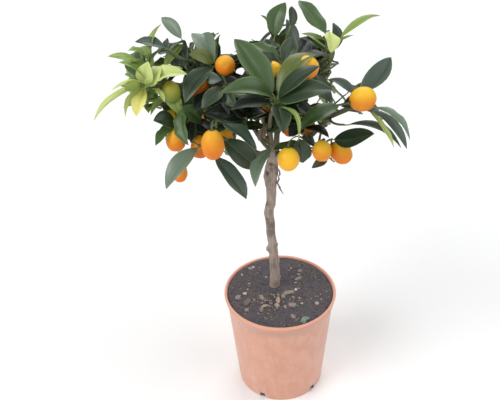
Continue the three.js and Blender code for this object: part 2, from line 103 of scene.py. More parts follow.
# Each bough: the limb it leaves, how far up that limb, its tip, root and tip radius, and its bow.
BOUGHS = {
    "bough_left": ("trunk", 0.95, (-92, -42, 500), (4.8, 3.2), (-6, -2, -12)),
    "bough_right": ("trunk", 0.96, (50, -38, 490), (4.6, 3.0), (6, -4, -9)),
    "bough_back": ("trunk", 0.9, (-12, 55, 495), (5.0, 3.0), (0, 8, -14)),
    "bough_front": ("trunk", 0.94, (-14, -62, 505), (4.2, 2.8), (0, -8, -10)),
    "bough_top": ("trunk", 1, (-3, 12, 522), (4.6, 3.0), (4, 3, 0)),
    "bough_young": ("bough_left", 0.72, (-124, -34, 532), (3.0, 2.2), (-4, 4, -4)),
    "bough_low_left": ("bough_left", 0.45, (-60, -70, 486), (3.2, 2.3), (0, -4, -5)),
    "bough_upper_left": ("bough_left", 0.3, (-72, -8, 530), (3.4, 2.4), (-4, 4, 2)),
    "bough_heart": ("bough_front", 0.35, (-34, -32, 488), (3, 2.3), (-3, 0, 0)),
    "bough_low_right": ("bough_right", 0.5, (42, -52, 464), (3, 2.2), (2, -4, -3)),
    "bough_upper_right": ("bough_top", 0.3, (42, 14, 520), (3.6, 2.6), (4, 2, -4)),
    "bough_back_left": ("bough_back", 0.35, (-66, 48, 488), (3.6, 2.6), (-4, 4, -4)),
    "bough_back_right": ("bough_back", 0.5, (36, 62, 486), (3.4, 2.5), (2, 4, -4)),
}

# Swellings, knots and cut stubs of the trunk: place, reach and height, negative where it sinks in.
KNOTS = [
    [(-20, 0, 396), 6.5, 2.0],
    [(-17, -6.4, 405), 2.8, -3.0],
    [(-18, 7, 260), 5.4, 4.4],
    [(-4, 5, 269), 3.0, 1.8],
    [(-2, 6, 236), 3.0, 2.2],
    [(-20, 2, 330), 6.0, 1.2],
    [(-18, 1, 352), 4.0, -1.4],
    [(-2, -4, 400), 5.0, 1.4],
    [(-14, 12, 418), 6.0, 1.8],
    [(-9, -4, 322), 5.0, 1.2],
    [(-8, -2, 296), 4.0, 1.0],
    [(-5, 2, 345), 5.0, 1.2],
    [(-15, 12, 240), 4.0, 1.4],
    [(-3, 12, 200), 6.0, 1.2],
    [(-12, -6.5, 419), 3.0, -1.8],
    [(-4, -7, 415), 3.4, -1.6],
    [(-12, -7, 389), 2.6, -1.0],
]

# How far noise carries a stain's edge, where its colour starts and where it is full, in its reaches.
STAIN_EDGE = (2, 2.1, 1.2)

# Dark stains of the old bark; those at the sunken hole and cracks near the trunk's head also paint the
# shade in them: place, reach and share.
STAINS_AND_HOLLOW_SHADE = [
    ((-17.5, -5.8, 405), 5.6, 0.95),
    ((-12, -6.5, 419), 4.4, 0.9),
    ((-4, -7.5, 415), 5.6, 0.9),
    ((-1, -6, 406), 6.5, 0.7),
    ((-11, -8, 412), 4.6, 0.6),
    ((-18, -1, 350), 8.0, 0.6),
    ((-18, -1, 322), 8.0, 0.6),
    ((-11, -4, 312), 13.0, 0.7),
    ((-13, -2, 296), 12.0, 0.55),
    ((-6, 0, 270), 4.0, 0.5),
    ((-12, -6, 334), 10.0, 0.4),
    ((-16, 2, 262), 5.0, 0.35),
    ((-9, 2, 228), 7.0, 0.25),
    ((-6, 6, 190), 8.0, 0.25),
]

# A dry twig that hangs at the head of the trunk: its places and radii.
DRY_TWIG = (
    [
        (-3, -4, 411), (0.5, -3, 406), (1.2, -3, 401), (-1, -3, 397), (0, -3, 393), (-3, -4, 388),
        (-1, -4, 383), (0.5, -5, 380), (1.6, -5, 376), (6, -6, 369),
    ],
    [1.5, 1.0, 1.3, 0.8, 1.3, 1.7, 1.2, 1.6, 1.1, 0.5],
)

# The masses of foliage. Each leaves the tip of the bough with its name on a stem that ends at its
# heart, and its fill tufts keep to its space (centre, reach). A tuft has its tip, the turn and rise of
# its shoot, its tint and its leading leaves: turn, rise, length, breadth, roll, arch, and their own
# fold, side bend and wave. A fruit has its centre, the turn and rise of its far end, its length, its
# width and its colour.
# Painted light among the tints: the shade tint puts near-black leaves where the crown is in shade, the
# two bluish tints paint the sky's sheen on old leaves, and the deep fruit are darker and redder partly as
# painted shade.
MASSES = [
    dict(
        name="foliage_young", heart=(-152, -50, 556), tint="fresh",
        space=((-146, -28, 560), (66, 60, 50)), fill=2,
        tufts=[
            ((-165, -62, 571), (165, 30), "young", [
                (-140, -14, 77, 0.22, -5, 0.07, 1.0, 0.0), (-142, 7, 44, 0.2, -25, 0.2),
                (-132, -36, 46, 0.22, -5, 0.14), (-7, 16, 54, 0.4, 15, 0.16, 1.1),
                (-36, -27, 34, 0.3, -40, 0.1),
            ]),
            ((-165, -63, 568), (165, 30), "lemon", [(-105, -33, 42, 0.46, -20, 0.07, 0.8)]),
            ((-166, -64, 569), (165, 30), "young", [
                (-31, 71, 34, 0.66, 75, 0.1, 0.5, 0.0, 0.0), (-1, 46, 34, 0.66, 40, 0.1),
            ]),
            ((-163, -60, 570), (165, 30), "fresh", [
                (-146, 52, 46, 0.44, -50, 0.1), (77, 34, 38, 0.5, 5, 0.1),
            ]),
            ((-147, -56, 568), (-60, 30), "fresh", [
                (-36, -50, 46, 0.4, -10, 0.1), (-120, 10, 34, 0.4),
            ]),
            ((-167, -45, 588), (165, 40), "fresh", [(163, 11, 46, 0.24, -5, 0.1), (-100, 30, 34, 0.4)]),
            ((-160, -36, 591), (120, 70), "fresh", [
                (59, 54, 46, 0.24, 10), (-136, 40, 34, 0.55, -40, 0.1), (99, 24, 28, 0.4, 0),
            ]),
        ],
        fruits=[
            (-176, -84, 578, 200, 0, 19.5, 13, "unripe"), (-133, -66, 561, -60, -60, 28, 22, "turning"),
        ],
    ),
    dict(
        name="foliage_left", heart=(-116, -64, 532), tint="green",
        space=((-120, -40, 528), (66, 62, 52)), fill=4,
        tufts=[
            ((-123, -75, 547), (-110, 60), "green", [(18, -47, 38, 0.56, 30, 0.07, 0.3, 0.0, 0.0)]),
            ((-122, -74, 545), (-110, 60), "green", [(-81, -36, 52, 0.44, 20)]),
            ((-125, -72, 544), (-110, 60), "dusk", [(166, -14, 52, 0.38)]),
            ((-131, -70, 522), (-150, 20), "deep", [(-140, 24, 34, 0.8, -50, 0.1, 0.4)]),
            ((-129, -68, 522), (-150, 20), "green", [(-122, -12, 48, 0.34, -15)]),
            ((-112, -62, 520), (-90, 0), "shade", [
                (-90, -10, 40, 0.5), (150, 0, 44, 0.5), (-30, -20, 40, 0.5),
            ]),
        ],
        fruits=[
            (-131, -88, 507, -100, -60, 30, 25, "ripe"), (-131, -86, 459, -90, -75, 26, 20, "ripe"),
            (-138, -54, 518, -100, -60, 26, 23, "amber"),
        ],
    ),
    dict(
        name="foliage_low_left", heart=(-80, -88, 512), tint="deep",
        space=((-70, -66, 506), (74, 64, 52)), fill=5,
        tufts=[
            ((-101, -95, 501), (-160, 0), "pale", [(-136, -27, 68, 0.38, -5, 0.12)]),
            ((-79, -92, 534), (-80, 0), "dusk", [(-31, -24, 61, 0.44, -40, 0.08, 0.4, -0.06)]),
            ((-77, -84, 505), (-80, 0), "deep", [(-3, -43, 64, 0.5, 0, 0.07, 0.3)]),
            ((-87, -92, 489), (-80, -20), "dusk", [(-44, -34, 71, 0.39, -40, -0.02, 0.5, 0.0, 0.1)]),
            ((-62, -66, 508), (-60, 0), "deep", [(-60, 20, 40, 0.5), (-120, 20, 40, 0.5)]),
        ],
        fruits=[
            (-84, -130, 521, -90, -80, 37, 27, "ripe"), (-102, -84, 494, -120, -60, 30, 25, "deep"),
            (-73, -70, 500, -60, -70, 30, 24, "ripe"),
        ],
    ),
    dict(
        name="foliage_upper_left", heart=(-100, -16, 570), tint="deep",
        space=((-98, 5, 556), (82, 72, 54)), fill=6,
        tufts=[
            ((-120, 0, 601), (140, 50), "pale", [(134, 29, 46, 0.36, 0, 0.07, 0.4, -0.03)]),
            ((-119, -2, 599), (140, 50), "fresh", [(-130, -28, 44, 0.38, -30, 0.07, 1.0)]),
            ((-137, -33, 603), (170, 40), "dusk", [
                (164, 10, 42, 0.42, -5, 0.1), (101, 14, 22, 0.5, -10, 0.1),
            ]),
            ((-137, -33, 600), (170, 40), "deep", [(-109, 15, 26, 0.4, -60, 0.1), (60, 0, 40, 0.4)]),
            ((-80, -30, 583), (-150, 50), "pale", [
                (113, 29, 48, 0.74, -25, 0.1, 0.3, 0.0, 0.0),
                (129, 31, 52, 0.6, 30, 0.1, 0.4, 0.0, 0.0),
            ]),
            ((-80, -29, 581), (-150, 50), "olive", [
                (-154, 29, 38, 0.52, -55, 0.16), (80, 36, 43, 0.36, -15),
            ]),
            ((-80, -30, 579), (-150, 50), "deep", [(-128, -22, 66, 0.38, -20, 0.1)]),
            ((-117, -30, 577), (-150, 50), "dusk", [(94, 28, 42, 0.52, -5), (130, 20, 44, 0.42)]),
            ((-69, -66, 566), (-110, 30), "deep", [
                (-132, -20, 42, 0.52, -15, 0.1), (-63, -31, 34, 0.5, 30, 0.16),
            ]),
            ((-94, -50, 573), (-60, 20), "dusk", [(-34, 1, 26, 0.55, 35)]),
            ((-84, -44, 556), (-60, 0), "shade", [
                (-120, -20, 46, 0.5), (-60, -35, 46, 0.5), (10, 0, 40, 0.5),
            ]),
        ],
        fruits=[
            (-67, -50, 586, -90, 20, 26, 24.5, "ripe"), (-102, -30, 551, -90, -60, 30, 25, "deep"),
        ],
    ),
    dict(
        name="foliage_front", heart=(-11, -104, 550), tint="deep",
        space=((-14, -74, 548), (82, 66, 58)), fill=5,
        tufts=[
            ((-10, -120, 572), (-90, 66), "green", [
                (128, 37, 88, 0.4, 20, 0.03, 1.0, 0.05, 0.08), (-160, 17, 68, 0.42, 0, 0.17, 1.3),
            ]),
            ((-9, -119, 568), (-90, 66), "olive", [(45, 28, 80, 0.34, -25, 0.18)]),
            ((-9, -119, 569), (-90, 66), "deep", [
                (-24, 45, 68, 0.32), (-33, 23, 74, 0.44, 5, 0.1), (-82, -25, 46, 0.5, -15, 0.1),
            ]),
            ((-11, -121, 566), (-90, 66), "shade", [(-154, 10, 54, 0.42, 10)]),
            ((-11, -121, 563), (-90, 66), "fresh", [(-58, -26, 52, 0.12, -10, 0.22, 0.8, 0.16)]),
            ((1, -60, 590), (-90, 60), "green", [(139, 19, 48, 0.42, 5)]),
            ((1, -62, 588), (-90, 60), "deep", [(60, 40, 40, 0.5), (-150, 30, 40, 0.5)]),
        ],
        fruits=[
            (-12, -76, 586, -60, 30, 30, 25, "golden"), (28, -84, 593, -60, 20, 32, 28, "amber"),
        ],
    ),
    dict(
        name="foliage_heart", heart=(-34, -36, 526), tint="shade",
        space=((-40, -22, 524), (78, 70, 62)), fill=7,
        tufts=[
            ((-12, -62, 479), (-60, 10), "pale", [(-114, -24, 64, 0.29, 0, 0.08, 0.4, -0.12, 0.0)]),
            ((-2, -66, 485), (-60, 10), "young", [(180, 30, 69, 0.16, 30, 0.25, 0.8)]),
            ((-22, -50, 502), (-120, -40), "dry", [
                (-140, -62, 20, 0.4, 0), (-95, -75, 17, 0.4, 0), (-30, -60, 15, 0.4, 0),
            ]),
            ((-43, -62, 520), (-90, 0), "shade", [
                (-163, 19, 56, 0.52, -5, 0.1), (-164, -5, 52, 0.48, -5, 0.1),
                (-151, 45, 40, 0.52, -45, 0.1), (-44, 31, 34, 0.46, 20, 0.1),
            ]),
            ((-16, -50, 499), (-60, 10), "deep", [
                (147, -8, 44, 0.32, -10, 0.12), (-52, 27, 36, 0.5, 30, 0.1),
            ]),
            ((-12, -46, 516), (-60, 10), "shade", [
                (-120, 20, 44, 0.5), (-70, 10, 40, 0.5), (160, 10, 44, 0.5),
            ]),
        ],
        fruits=[
            (-23, -30, 518, -90, -80, 28, 24, "deep"), (-70, -34, 511, -90, -80, 26, 23, "deep"),
        ],
    ),
    dict(
        name="foliage_top", heart=(-3, 6, 570), tint="deep",
        space=((-8, 28, 556), (82, 72, 56)), fill=6,
        tufts=[
            ((-5, 5, 597), (60, 70), "green", [(51, 58, 48, 0.5, 5, 0.03, None, 0.12)]),
            ((-6, 4, 592), (60, 70), "deep", [(110, 40, 44, 0.5), (-100, 10, 44, 0.5)]),
            ((15, 2, 612), (60, 70), "deep", [(79, 32, 34, 0.5, 25)]),
            ((15, -4, 582), (60, 70), "dusk", [(90, 40, 50, 0.42, 5)]),
            ((-9, -30, 583), (-90, 60), "deep", [
                (97, 28, 36, 0.6, 15, 0.1), (146, 15, 42, 0.22, 10, 0.22),
            ]),
            ((20, -14, 574), (-60, 40), "shade", [
                (60, 20, 44, 0.5), (0, 10, 44, 0.5), (-60, 10, 40, 0.5),
            ]),
        ],
        fruits=[],
    ),
    dict(
        name="foliage_upper_right", heart=(62, 14, 560), tint="deep",
        space=((62, 38, 542), (60, 62, 56)), fill=5,
        tufts=[
            ((64, 12, 595), (60, 70), "green", [(120, 26, 72, 0.36, -30, 0.05, 0.5, 0.02, 0.22)]),
            ((65, 8, 605), (60, 70), "young", [(-90, -32, 34, 0.62, 15)]),
            ((74, 14, 573), (60, 70), "deep", [(85, 38, 46, 0.4, 5), (149, 16, 52, 0.38, -30)]),
            ((73, 13, 571), (60, 70), "fresh", [(137, 21, 56, 0.24, -30)]),
            ((79, 20, 587), (30, 50), "fresh", [
                (28, 20, 70, 0.22, -5, 0.07, 0.9), (-38, 27, 24, 0.2, 75),
            ]),
        ],
        fruits=[],
    ),
    dict(
        name="foliage_right", heart=(82, -64, 530), tint="deep",
        space=((76, -34, 520), (70, 60, 50)), fill=4,
        tufts=[
            ((93, -70, 548), (60, 60), "dusk", [
                (38, 32, 66, 0.42, -25, -0.04, 1.0, -0.06, 0.0), (141, 19, 44, 0.36, -10, 0.1),
            ]),
            ((92, -70, 545), (60, 60), "deep", [(-132, 3, 32, 0.5, -20)]),
            ((103, -86, 541), (-40, 10), "pale", [(-47, -16, 66, 0.24, 0, 0.14, 0.9)]),
            ((103, -86, 540), (-40, 10), "dusk", [(-42, -33, 68, 0.24, 0, 0.14)]),
            ((102, -86, 538), (-40, 10), "young", [(-53, -33, 57, 0.16, 0, 0.1)]),
            ((77, -78, 514), (-20, 10), "dusk", [(-32, -6, 75, 0.22, 0, 0.12, 0.9)]),
            ((73, -78, 541), (-120, 0), "green", [(-155, -15, 62, 0.42, 15, 0.12)]),
            ((70, -60, 524), (-60, 0), "deep", [(-150, 0, 46, 0.44)]),
        ],
        fruits=[(94, -96, 556, 10, 10, 33, 29, "amber")],
    ),
    dict(
        name="foliage_low_right", heart=(56, -56, 484), tint="deep",
        space=((42, -30, 482), (64, 56, 44)), fill=4,
        tufts=[
            ((63, -62, 486), (0, 30), "deep", [(-26, 21, 58, 0.6, 15, -0.06, 0.3, -0.05, 0.0)]),
            ((22, -58, 490), (-150, 30), "deep", [(-8, -81, 40, 0.6, 35, 0.05), (24, -36, 36, 0.44)]),
            ((61, -62, 459), (-60, -40), "dusk", [(-141, -6, 30, 0.4)]),
            ((28, -50, 498), (-100, 30), "shade", [
                (-120, 10, 40, 0.5), (160, 0, 40, 0.5), (-40, 0, 40, 0.5),
            ]),
        ],
        fruits=[
            (51, -74, 476, -90, -60, 28, 25, "amber"), (77, -62, 466, -20, -45, 34, 27, "ripe"),
            (7, -90, 475, -90, -75, 31, 28, "golden"), (14, -34, 492, -90, -60, 28, 25, "deep"),
            (37, -10, 479, -90, -60, 28, 24, "deep"),
        ],
    ),
    dict(
        name="foliage_back", heart=(-13, 88, 514), tint="green",
        space=((-14, 96, 506), (92, 84, 62)), fill=9, tufts=[], fruits=[],
    ),
    dict(
        name="foliage_back_left", heart=(-94, 66, 512), tint="deep",
        space=((-96, 70, 510), (88, 84, 62)), fill=9, tufts=[], fruits=[],
    ),
    dict(
        name="foliage_back_right", heart=(50, 88, 502), tint="green",
        space=((52, 92, 498), (78, 80, 62)), fill=8, tufts=[], fruits=[],
    ),
]

FOLIAGE = [mass["name"] for mass in MASSES]

# Radii of a mass's stem and of its shoots, the end of a shoot that is straight, and the spacing of
# the leaves along it.
TWIG = dict(stem_tip=1.9, root=1.8, tip=1.3, straight=34, spacing=2.2)

# Usual breadth and arch of a leaf as shares of its length, how far it leans outward, the least half
# width of its hull, the depth of the hull's keel, and the share that may touch other growth.
LEAF = dict(breadth=0.38, arch=0.07, lean=0.5, root=0.9, keel=(0.35, 0.017), bare=0.22)
PLAIN_LEAF = (LEAF["breadth"], 0, LEAF["arch"], None, None, None)

# Filling tufts: leaves a tuft, their length with its least share and its range, their spacing and
# opening, how loosely they stand round the shoot, and how they turn and shrink when they are tried
# again. The tufts keep apart by their room, stand at a share (out, with its own least share and
# range) of their mass's reach, and turn outward and up.
FILL = dict(
    leaves=5, length=66, least=0.74, range=0.4, spacing=6.5, opening=(30, 80), loose=40,
    tries=3, turn=50, shrink=0.12, room=24, out=0.46, out_least=0.85, out_range=0.3, up=0.5,
)
# Tints of the filling sprays; the bluish one is painted sheen.
FILL_TINTS = ("green", "dusk", "deep")
OWN_TINT = 0.7  # share of the filling sprays that have their mass's own tint

# Fruit of the filling tufts: one in so many tufts, only behind a depth, so far back along the shoot
# and so far below it, and its rise, length and width.
FILL_FRUIT = dict(each=3, behind=30, back=8, hang=24, rise=-80, size=(34, 26))

CLEAR = 0.45  # extra skin on a leaf, twig or fruit while its room is tested

# How far along a leaf its hull has a station, and how full it is there.
LEADING = ((0.3, 0.94), (0.66, 0.86))
FILLING = ((0.45, 1.1),)

# Small growth between the tufts: tries in each mass, a twig's length, radii, rise, sag and lean
# outward and up, and its leaves. A pair of numbers gives the least and the most, or root and tip.
FINE = dict(
    tries=300, twig=(12, 32), radii=(1.3, 0.9), rise=(-50, 80), sag=2, out=0.5, up=0.25,
    leaves=4, length=(38, 66), breadth=(0.38, 0.5), spacing=4, opening=(25, 85),
)

# Inside this space (centre, reach) the crown's shade is painted: its leaves take the near-black shade
# tint.
INNER = ((-15, 0, 520), (88, 84, 58))

# The view from the front: its width and height, and the size of the cells that keep its depths.
VIEW_WIDTH, VIEW_HEIGHT, CELL = 500, 400, 2

# Openings where the sky shows through and round the crown, which small growth keeps out of: column,
# row and reach in that view.
SKY = [
    (252, 26, 13), (236, 40, 6), (205, 26, 7), (192, 30, 5), (350, 52, 15), (341, 72, 8), (354, 74, 6),
    (384, 98, 9), (251, 136, 9), (179, 78, 4), (313, 98, 5), (336, 97, 3), (341, 87, 4), (175, 30, 12),
    (334, 113, 6), (340, 124, 6), (350, 118, 5), (364, 124, 6), (326, 133, 4), (346, 132, 4),
    (356, 134, 5), (241, 71, 3), (328, 14, 6), (296, 14, 4), (228, 42, 6), (227, 48, 5), (214, 166, 8),
    (160, 116, 6), (368, 45, 14), (118, 69, 5), (122, 99, 4), (201, 161, 5),
]

# A blade swells from its foot and narrows to its tip by these powers. Its columns of points run from
# edge to edge.
SWELL = (0.78, 0.86)
BLADE_COLUMNS = (-1, -0.94, -0.5, -0.12, -0.03, 0.03, 0.12, 0.5, 0.94, 1)

# The fold along a blade's midrib and how it flattens towards the edge, its waves and their number,
# the depth and width of its rib, the droop of its tip from a share of its length, its twist and its
# side bend.
BLADE = dict(
    fold=(0.25, 0.8), flatten=0.55, wave=(0.0, 0.22), crests=(1.3, 2.8), rib=(0.4, 0.12),
    droop=(0, 0.5), droop_from=0.6, twist=0.3, sickle=0.05,
)
LEAF_STALK = 0.08  # share of a leaf's length that is its bare stalk

# The camera: its place, its fall below level and its roll in degrees, and its focal length over the
# width of the view. Its sensor's width is in millimetres.
EYE = Vector((-43, -798, 881))
EYE_PITCH = 33.3
EYE_ROLL = -2.13
EYE_LENS = 650 / VIEW_WIDTH
SENSOR = 36


# ---- Curves and hulls --------------------------------------------------------------------------


def heading(turn, rise):
    """Unit vector of a compass turn and a rise, in degrees."""
    turn, rise = math.radians(turn), math.radians(rise)
    flat = math.cos(rise)
    return Vector((flat * math.cos(turn), flat * math.sin(turn), math.sin(rise)))


def chance(mass, tuft, draw):
    """Repeatable number from 0 to 1 for three whole numbers."""
    wave = math.sin(mass * 12.9898 + tuft * 78.233 + draw * 37.719) * 43758.5453
    return wave - math.floor(wave)


def mix(low, high, share):
    """The number at a share of the way from low to high."""
    return low + (high - low) * share


class Bow:
    """A curve from start to end that leans toward a middle point."""

    STEPS = 200

    def __init__(self, start, middle, end):
        self.start, self.middle, self.end = start, middle, end
        spots = [self._spot(k / self.STEPS) for k in range(self.STEPS + 1)]
        steps = [(b - a).length for a, b in zip(spots, spots[1:])]
        self.reach = np.concatenate([[0], np.cumsum(steps)])
        self.length = float(self.reach[-1])

    def _spot(self, t):
        return self.start * (1 - t) ** 2 + self.middle * (2 * t * (1 - t)) + self.end * t**2

    def _even(self, share):
        return float(np.interp(share * self.length, self.reach, np.linspace(0, 1, self.STEPS + 1)))

    def at(self, share):
        """The place at a share of the curve's length."""
        return self._spot(self._even(share))

    def way(self, share):
        """The direction of the curve at a share of its length."""
        t = self._even(share)
        return ((self.middle - self.start) * (1 - t) + (self.end - self.middle) * t).normalized()

    def line(self, steps):
        """Places at even steps along the curve."""
        return [self.at(k / steps) for k in range(steps + 1)]


def grid_faces(rows, columns, joined=False):
    """Four-sided faces of a grid of points, wound so that they face along row x column."""
    last = columns if joined else columns - 1
    i, j = np.meshgrid(np.arange(rows - 1), np.arange(last), indexing="ij")
    here, there = i * columns + j, i * columns + (j + 1) % columns
    return np.stack([here, here + columns, there + columns, there], -1).reshape(-1, 4)


def skin_faces(rings, sides):
    """Faces of a round skin, wound so that they face outward."""
    return grid_faces(rings, sides, True)[:, ::-1]


def angles_round(sides):
    return np.arange(sides) * 2 * math.pi / sides


def tube(line, radii, sides):
    """Points of a round limb along a line, ring by ring, and its faces."""
    line = [Vector(p) for p in line]
    ways = [(b - a).normalized() for a, b in zip(line, line[1:])]
    ways = [ways[0]] + [(a + b).normalized() for a, b in zip(ways, ways[1:])] + [ways[-1]]
    across = ways[0].orthogonal().normalized()
    rings = []
    for spot, way, radius in zip(line, ways, radii):
        across = (across - way * across.dot(way)).normalized()
        other = way.cross(across)
        for k in range(sides):
            angle = 2 * math.pi * k / sides
            rings.append(spot + (across * math.cos(angle) + other * math.sin(angle)) * radius)
    return np.array(rings), skin_faces(len(line), sides)


def closed(hull, sides, first, last):
    """Closes the two ends of a skin of rings, each on a point. A face of three corners ends in -1."""
    points, faces = hull
    k = np.arange(sides)
    after, none = (k + 1) % sides, np.full(sides, -1)
    top, start, end = len(points) - sides, np.full(sides, len(points)), np.full(sides, len(points) + 1)
    ends = [np.stack([start, after, k, none], -1), np.stack([end, top + k, top + after, none], -1)]
    return np.concatenate([points, [tuple(first), tuple(last)]]), np.concatenate([faces, *ends])


def closed_tube(line, radii, sides):
    """A limb with both its ends closed."""
    return closed(tube(line, radii, sides), sides, line[0], line[-1])


def turned(profile, sides):
    """A profile (radius, height) turned round the pot's axis. It climbs the outside, pole to pole."""
    angles = angles_round(sides)
    rows = [
        np.stack([r * np.cos(angles), r * np.sin(angles), np.full(sides, float(z))], -1)
        for r, z in profile[1:-1]
    ]
    skin = np.concatenate(rows), skin_faces(len(rows), sides)
    return closed(skin, sides, (0, 0, profile[0][1]), (0, 0, profile[-1][1]))


def leaf_hull(leaf, stations, skin):
    """Plain three-sided hull of a leaf, as its room is tested."""
    foot, run, face = leaf["foot"], leaf["run"], leaf["face"]
    length, breadth, arch = leaf["length"], leaf["breadth"], leaf["arch"]
    side = face.cross(run)
    fixed, share = LEAF["keel"]
    points = []
    for along, fullness in [(0, 0), *stations]:
        half = max(LEAF["root"], fullness * breadth * length / 2) + skin
        rise = 4 * arch * length * along * (1 - along)
        spot = foot + run * (along * length) + face * rise
        points += [spot - face * (fixed + share * length + skin)]
        points += [spot - side * half - face * skin, spot + side * half - face * skin]
    points.append(foot + run * (length + skin) - face * skin)
    sides, tip = ((0, 1), (1, 2), (2, 0)), len(points) - 1
    faces = [(k + a, k + b, k + 3 + b, k + 3 + a) for k in range(0, tip - 3, 3) for a, b in sides]
    faces += [(tip - 3 + a, tip - 3 + b, tip) for a, b in sides]
    return np.array(points), faces


def ball(rings, sides):
    """Unit ball: rings of points from its lower to its upper end."""
    lat = (np.arange(rings) + 0.5) * math.pi / rings - math.pi / 2
    lon = angles_round(sides)
    flat = np.cos(lat)[:, None]
    points = np.stack(
        [flat * np.cos(lon), flat * np.sin(lon), np.repeat(np.sin(lat)[:, None], sides, 1)], -1
    )
    return points.reshape(-1, 3), skin_faces(rings, sides)


def closed_ball(rings, sides):
    return closed(ball(rings, sides), sides, (0, 0, -1), (0, 0, 1))


def set_along(points, way, centre):
    """Points made along +Z, turned to a way and moved to a centre."""
    return points @ np.array(UP.rotation_difference(way).to_matrix()).T + np.array(centre)


def fruit_points(points, fruit, skin=0.0):
    """A unit ball's points as those of a fruit, under an extra skin."""
    size = np.array([fruit["width"], fruit["width"], fruit["length"]]) / 2 + skin
    return set_along(points * size, fruit["way"], fruit["centre"])


def fruit_hull(fruit, skin):
    """Plain hull of a fruit, as its room is tested."""
    points, faces = ball(5, 6)
    return fruit_points(points, fruit, skin), faces


# ---- Growth ------------------------------------------------------------------------------------


class Room:
    """All that has grown so far, so that new twigs, leaves and fruit keep clear of it."""

    MOST = 12000

    def __init__(self):
        self.low, self.high = np.empty((self.MOST, 3)), np.empty((self.MOST, 3))
        self.owners, self.trees = [], []

    def take(self, hull, owner):
        """Fills the room of a hull in the name of its owner."""
        points, faces = hull
        self.low[len(self.trees)], self.high[len(self.trees)] = points.min(0), points.max(0)
        self.owners.append(owner)
        self.trees.append(BVHTree.FromPolygons(points.tolist(), [tuple(f) for f in faces]))

    def free(self, hull, owner=None):
        """True where a hull touches nothing, apart from what its owner has."""
        points, faces = hull
        n = len(self.trees)
        near = (self.low[:n] < points.max(0)) & (self.high[:n] > points.min(0))
        near = np.nonzero(near.all(1))[0]
        near = [k for k in near if owner is None or self.owners[k] != owner]
        if not near:
            return True
        tree = BVHTree.FromPolygons(points.tolist(), [tuple(f) for f in faces])
        return not any(self.trees[k].overlap(tree) for k in near)


class Sight:
    """What the tree shows to someone in front of it, so that small growth stays behind it."""

    CELLS = (VIEW_WIDTH // CELL, VIEW_HEIGHT // CELL)

    def __init__(self):
        self.depth = np.full(self.CELLS, np.inf)
        self.turn = np.array(eye_turn())

    def spots(self, points):
        """Column, row and depth of points, the view being CELLS wide and high."""
        seen = (np.asarray(points) - np.array(EYE)) @ self.turn
        depth = -seen[:, 2]
        scale = EYE_LENS * self.CELLS[0] / depth
        column = self.CELLS[0] / 2 + seen[:, 0] * scale
        row = self.CELLS[1] / 2 - seen[:, 1] * scale
        return column, row, depth

    def cells(self, points):
        """Whole columns and rows, and the depths, of those points that are in the view."""
        column, row, depth = self.spots(points)
        inside = (column >= 0) & (column < self.CELLS[0]) & (row >= 0) & (row < self.CELLS[1])
        return column[inside].astype(int), row[inside].astype(int), depth[inside]

    def mark(self, points):
        """Notes how near the points come to the viewer."""
        column, row, depth = self.cells(points)
        np.minimum.at(self.depth, (column, row), depth)

    def stays_behind(self, points):
        """True where points hide nothing that was marked and keep out of the openings to the sky."""
        column, row, depth = self.cells(points)
        front = self.depth[column, row]
        if np.any(np.isfinite(front) & (depth < front)):
            return False
        across, down, _ = self.spots(points)
        return not any(
            np.any(np.hypot(across - x / CELL, down - y / CELL) < reach / CELL) for x, y, reach in SKY
        )


def eye_turn():
    """Turn of the viewer: its columns are the view's right, up and back."""
    return (
        Matrix.Rotation(math.radians(90 - EYE_PITCH), 3, "X")
        @ Matrix.Rotation(math.radians(EYE_ROLL), 3, "Z")
    )


def trunk_at(share, column):
    """A column of the trunk's rings at a share of its height."""
    z = share * TRUNK_RINGS[-1][0]
    upper = max(1, next(k for k, ring in enumerate(TRUNK_RINGS) if ring[0] >= z - 1e-6))
    low, high = TRUNK_RINGS[upper - 1], TRUNK_RINGS[upper]
    t = (z - low[0]) / (high[0] - low[0])
    return mix(low[column], high[column], t * t * (3 - 2 * t))


def trunk_point(share):
    """The middle of the trunk at a share of its height."""
    return Vector((trunk_at(share, 1), trunk_at(share, 2), TRUNK_FOOT + share * TRUNK_RINGS[-1][0]))


def grow_boughs():
    """Each bough's curve and its two radii, by name."""
    grown = {}
    for name, (parent, at, tip, radii, bow) in BOUGHS.items():
        start = trunk_point(at) if parent == "trunk" else grown[parent][0].at(at)
        end = Vector(tip)
        grown[name] = (Bow(start, start.lerp(end, 0.5) + Vector(bow), end), radii)
    return grown


def face_of(run, foot, roll):
    """The upper side of a leaf turns up and outward, as far as its run allows."""
    outward = foot - CROWN_AXIS
    outward.z = 0
    light = UP + outward.normalized() * LEAF["lean"]
    face = (light - run * light.dot(run)).normalized()
    return Matrix.Rotation(math.radians(roll), 3, run) @ face


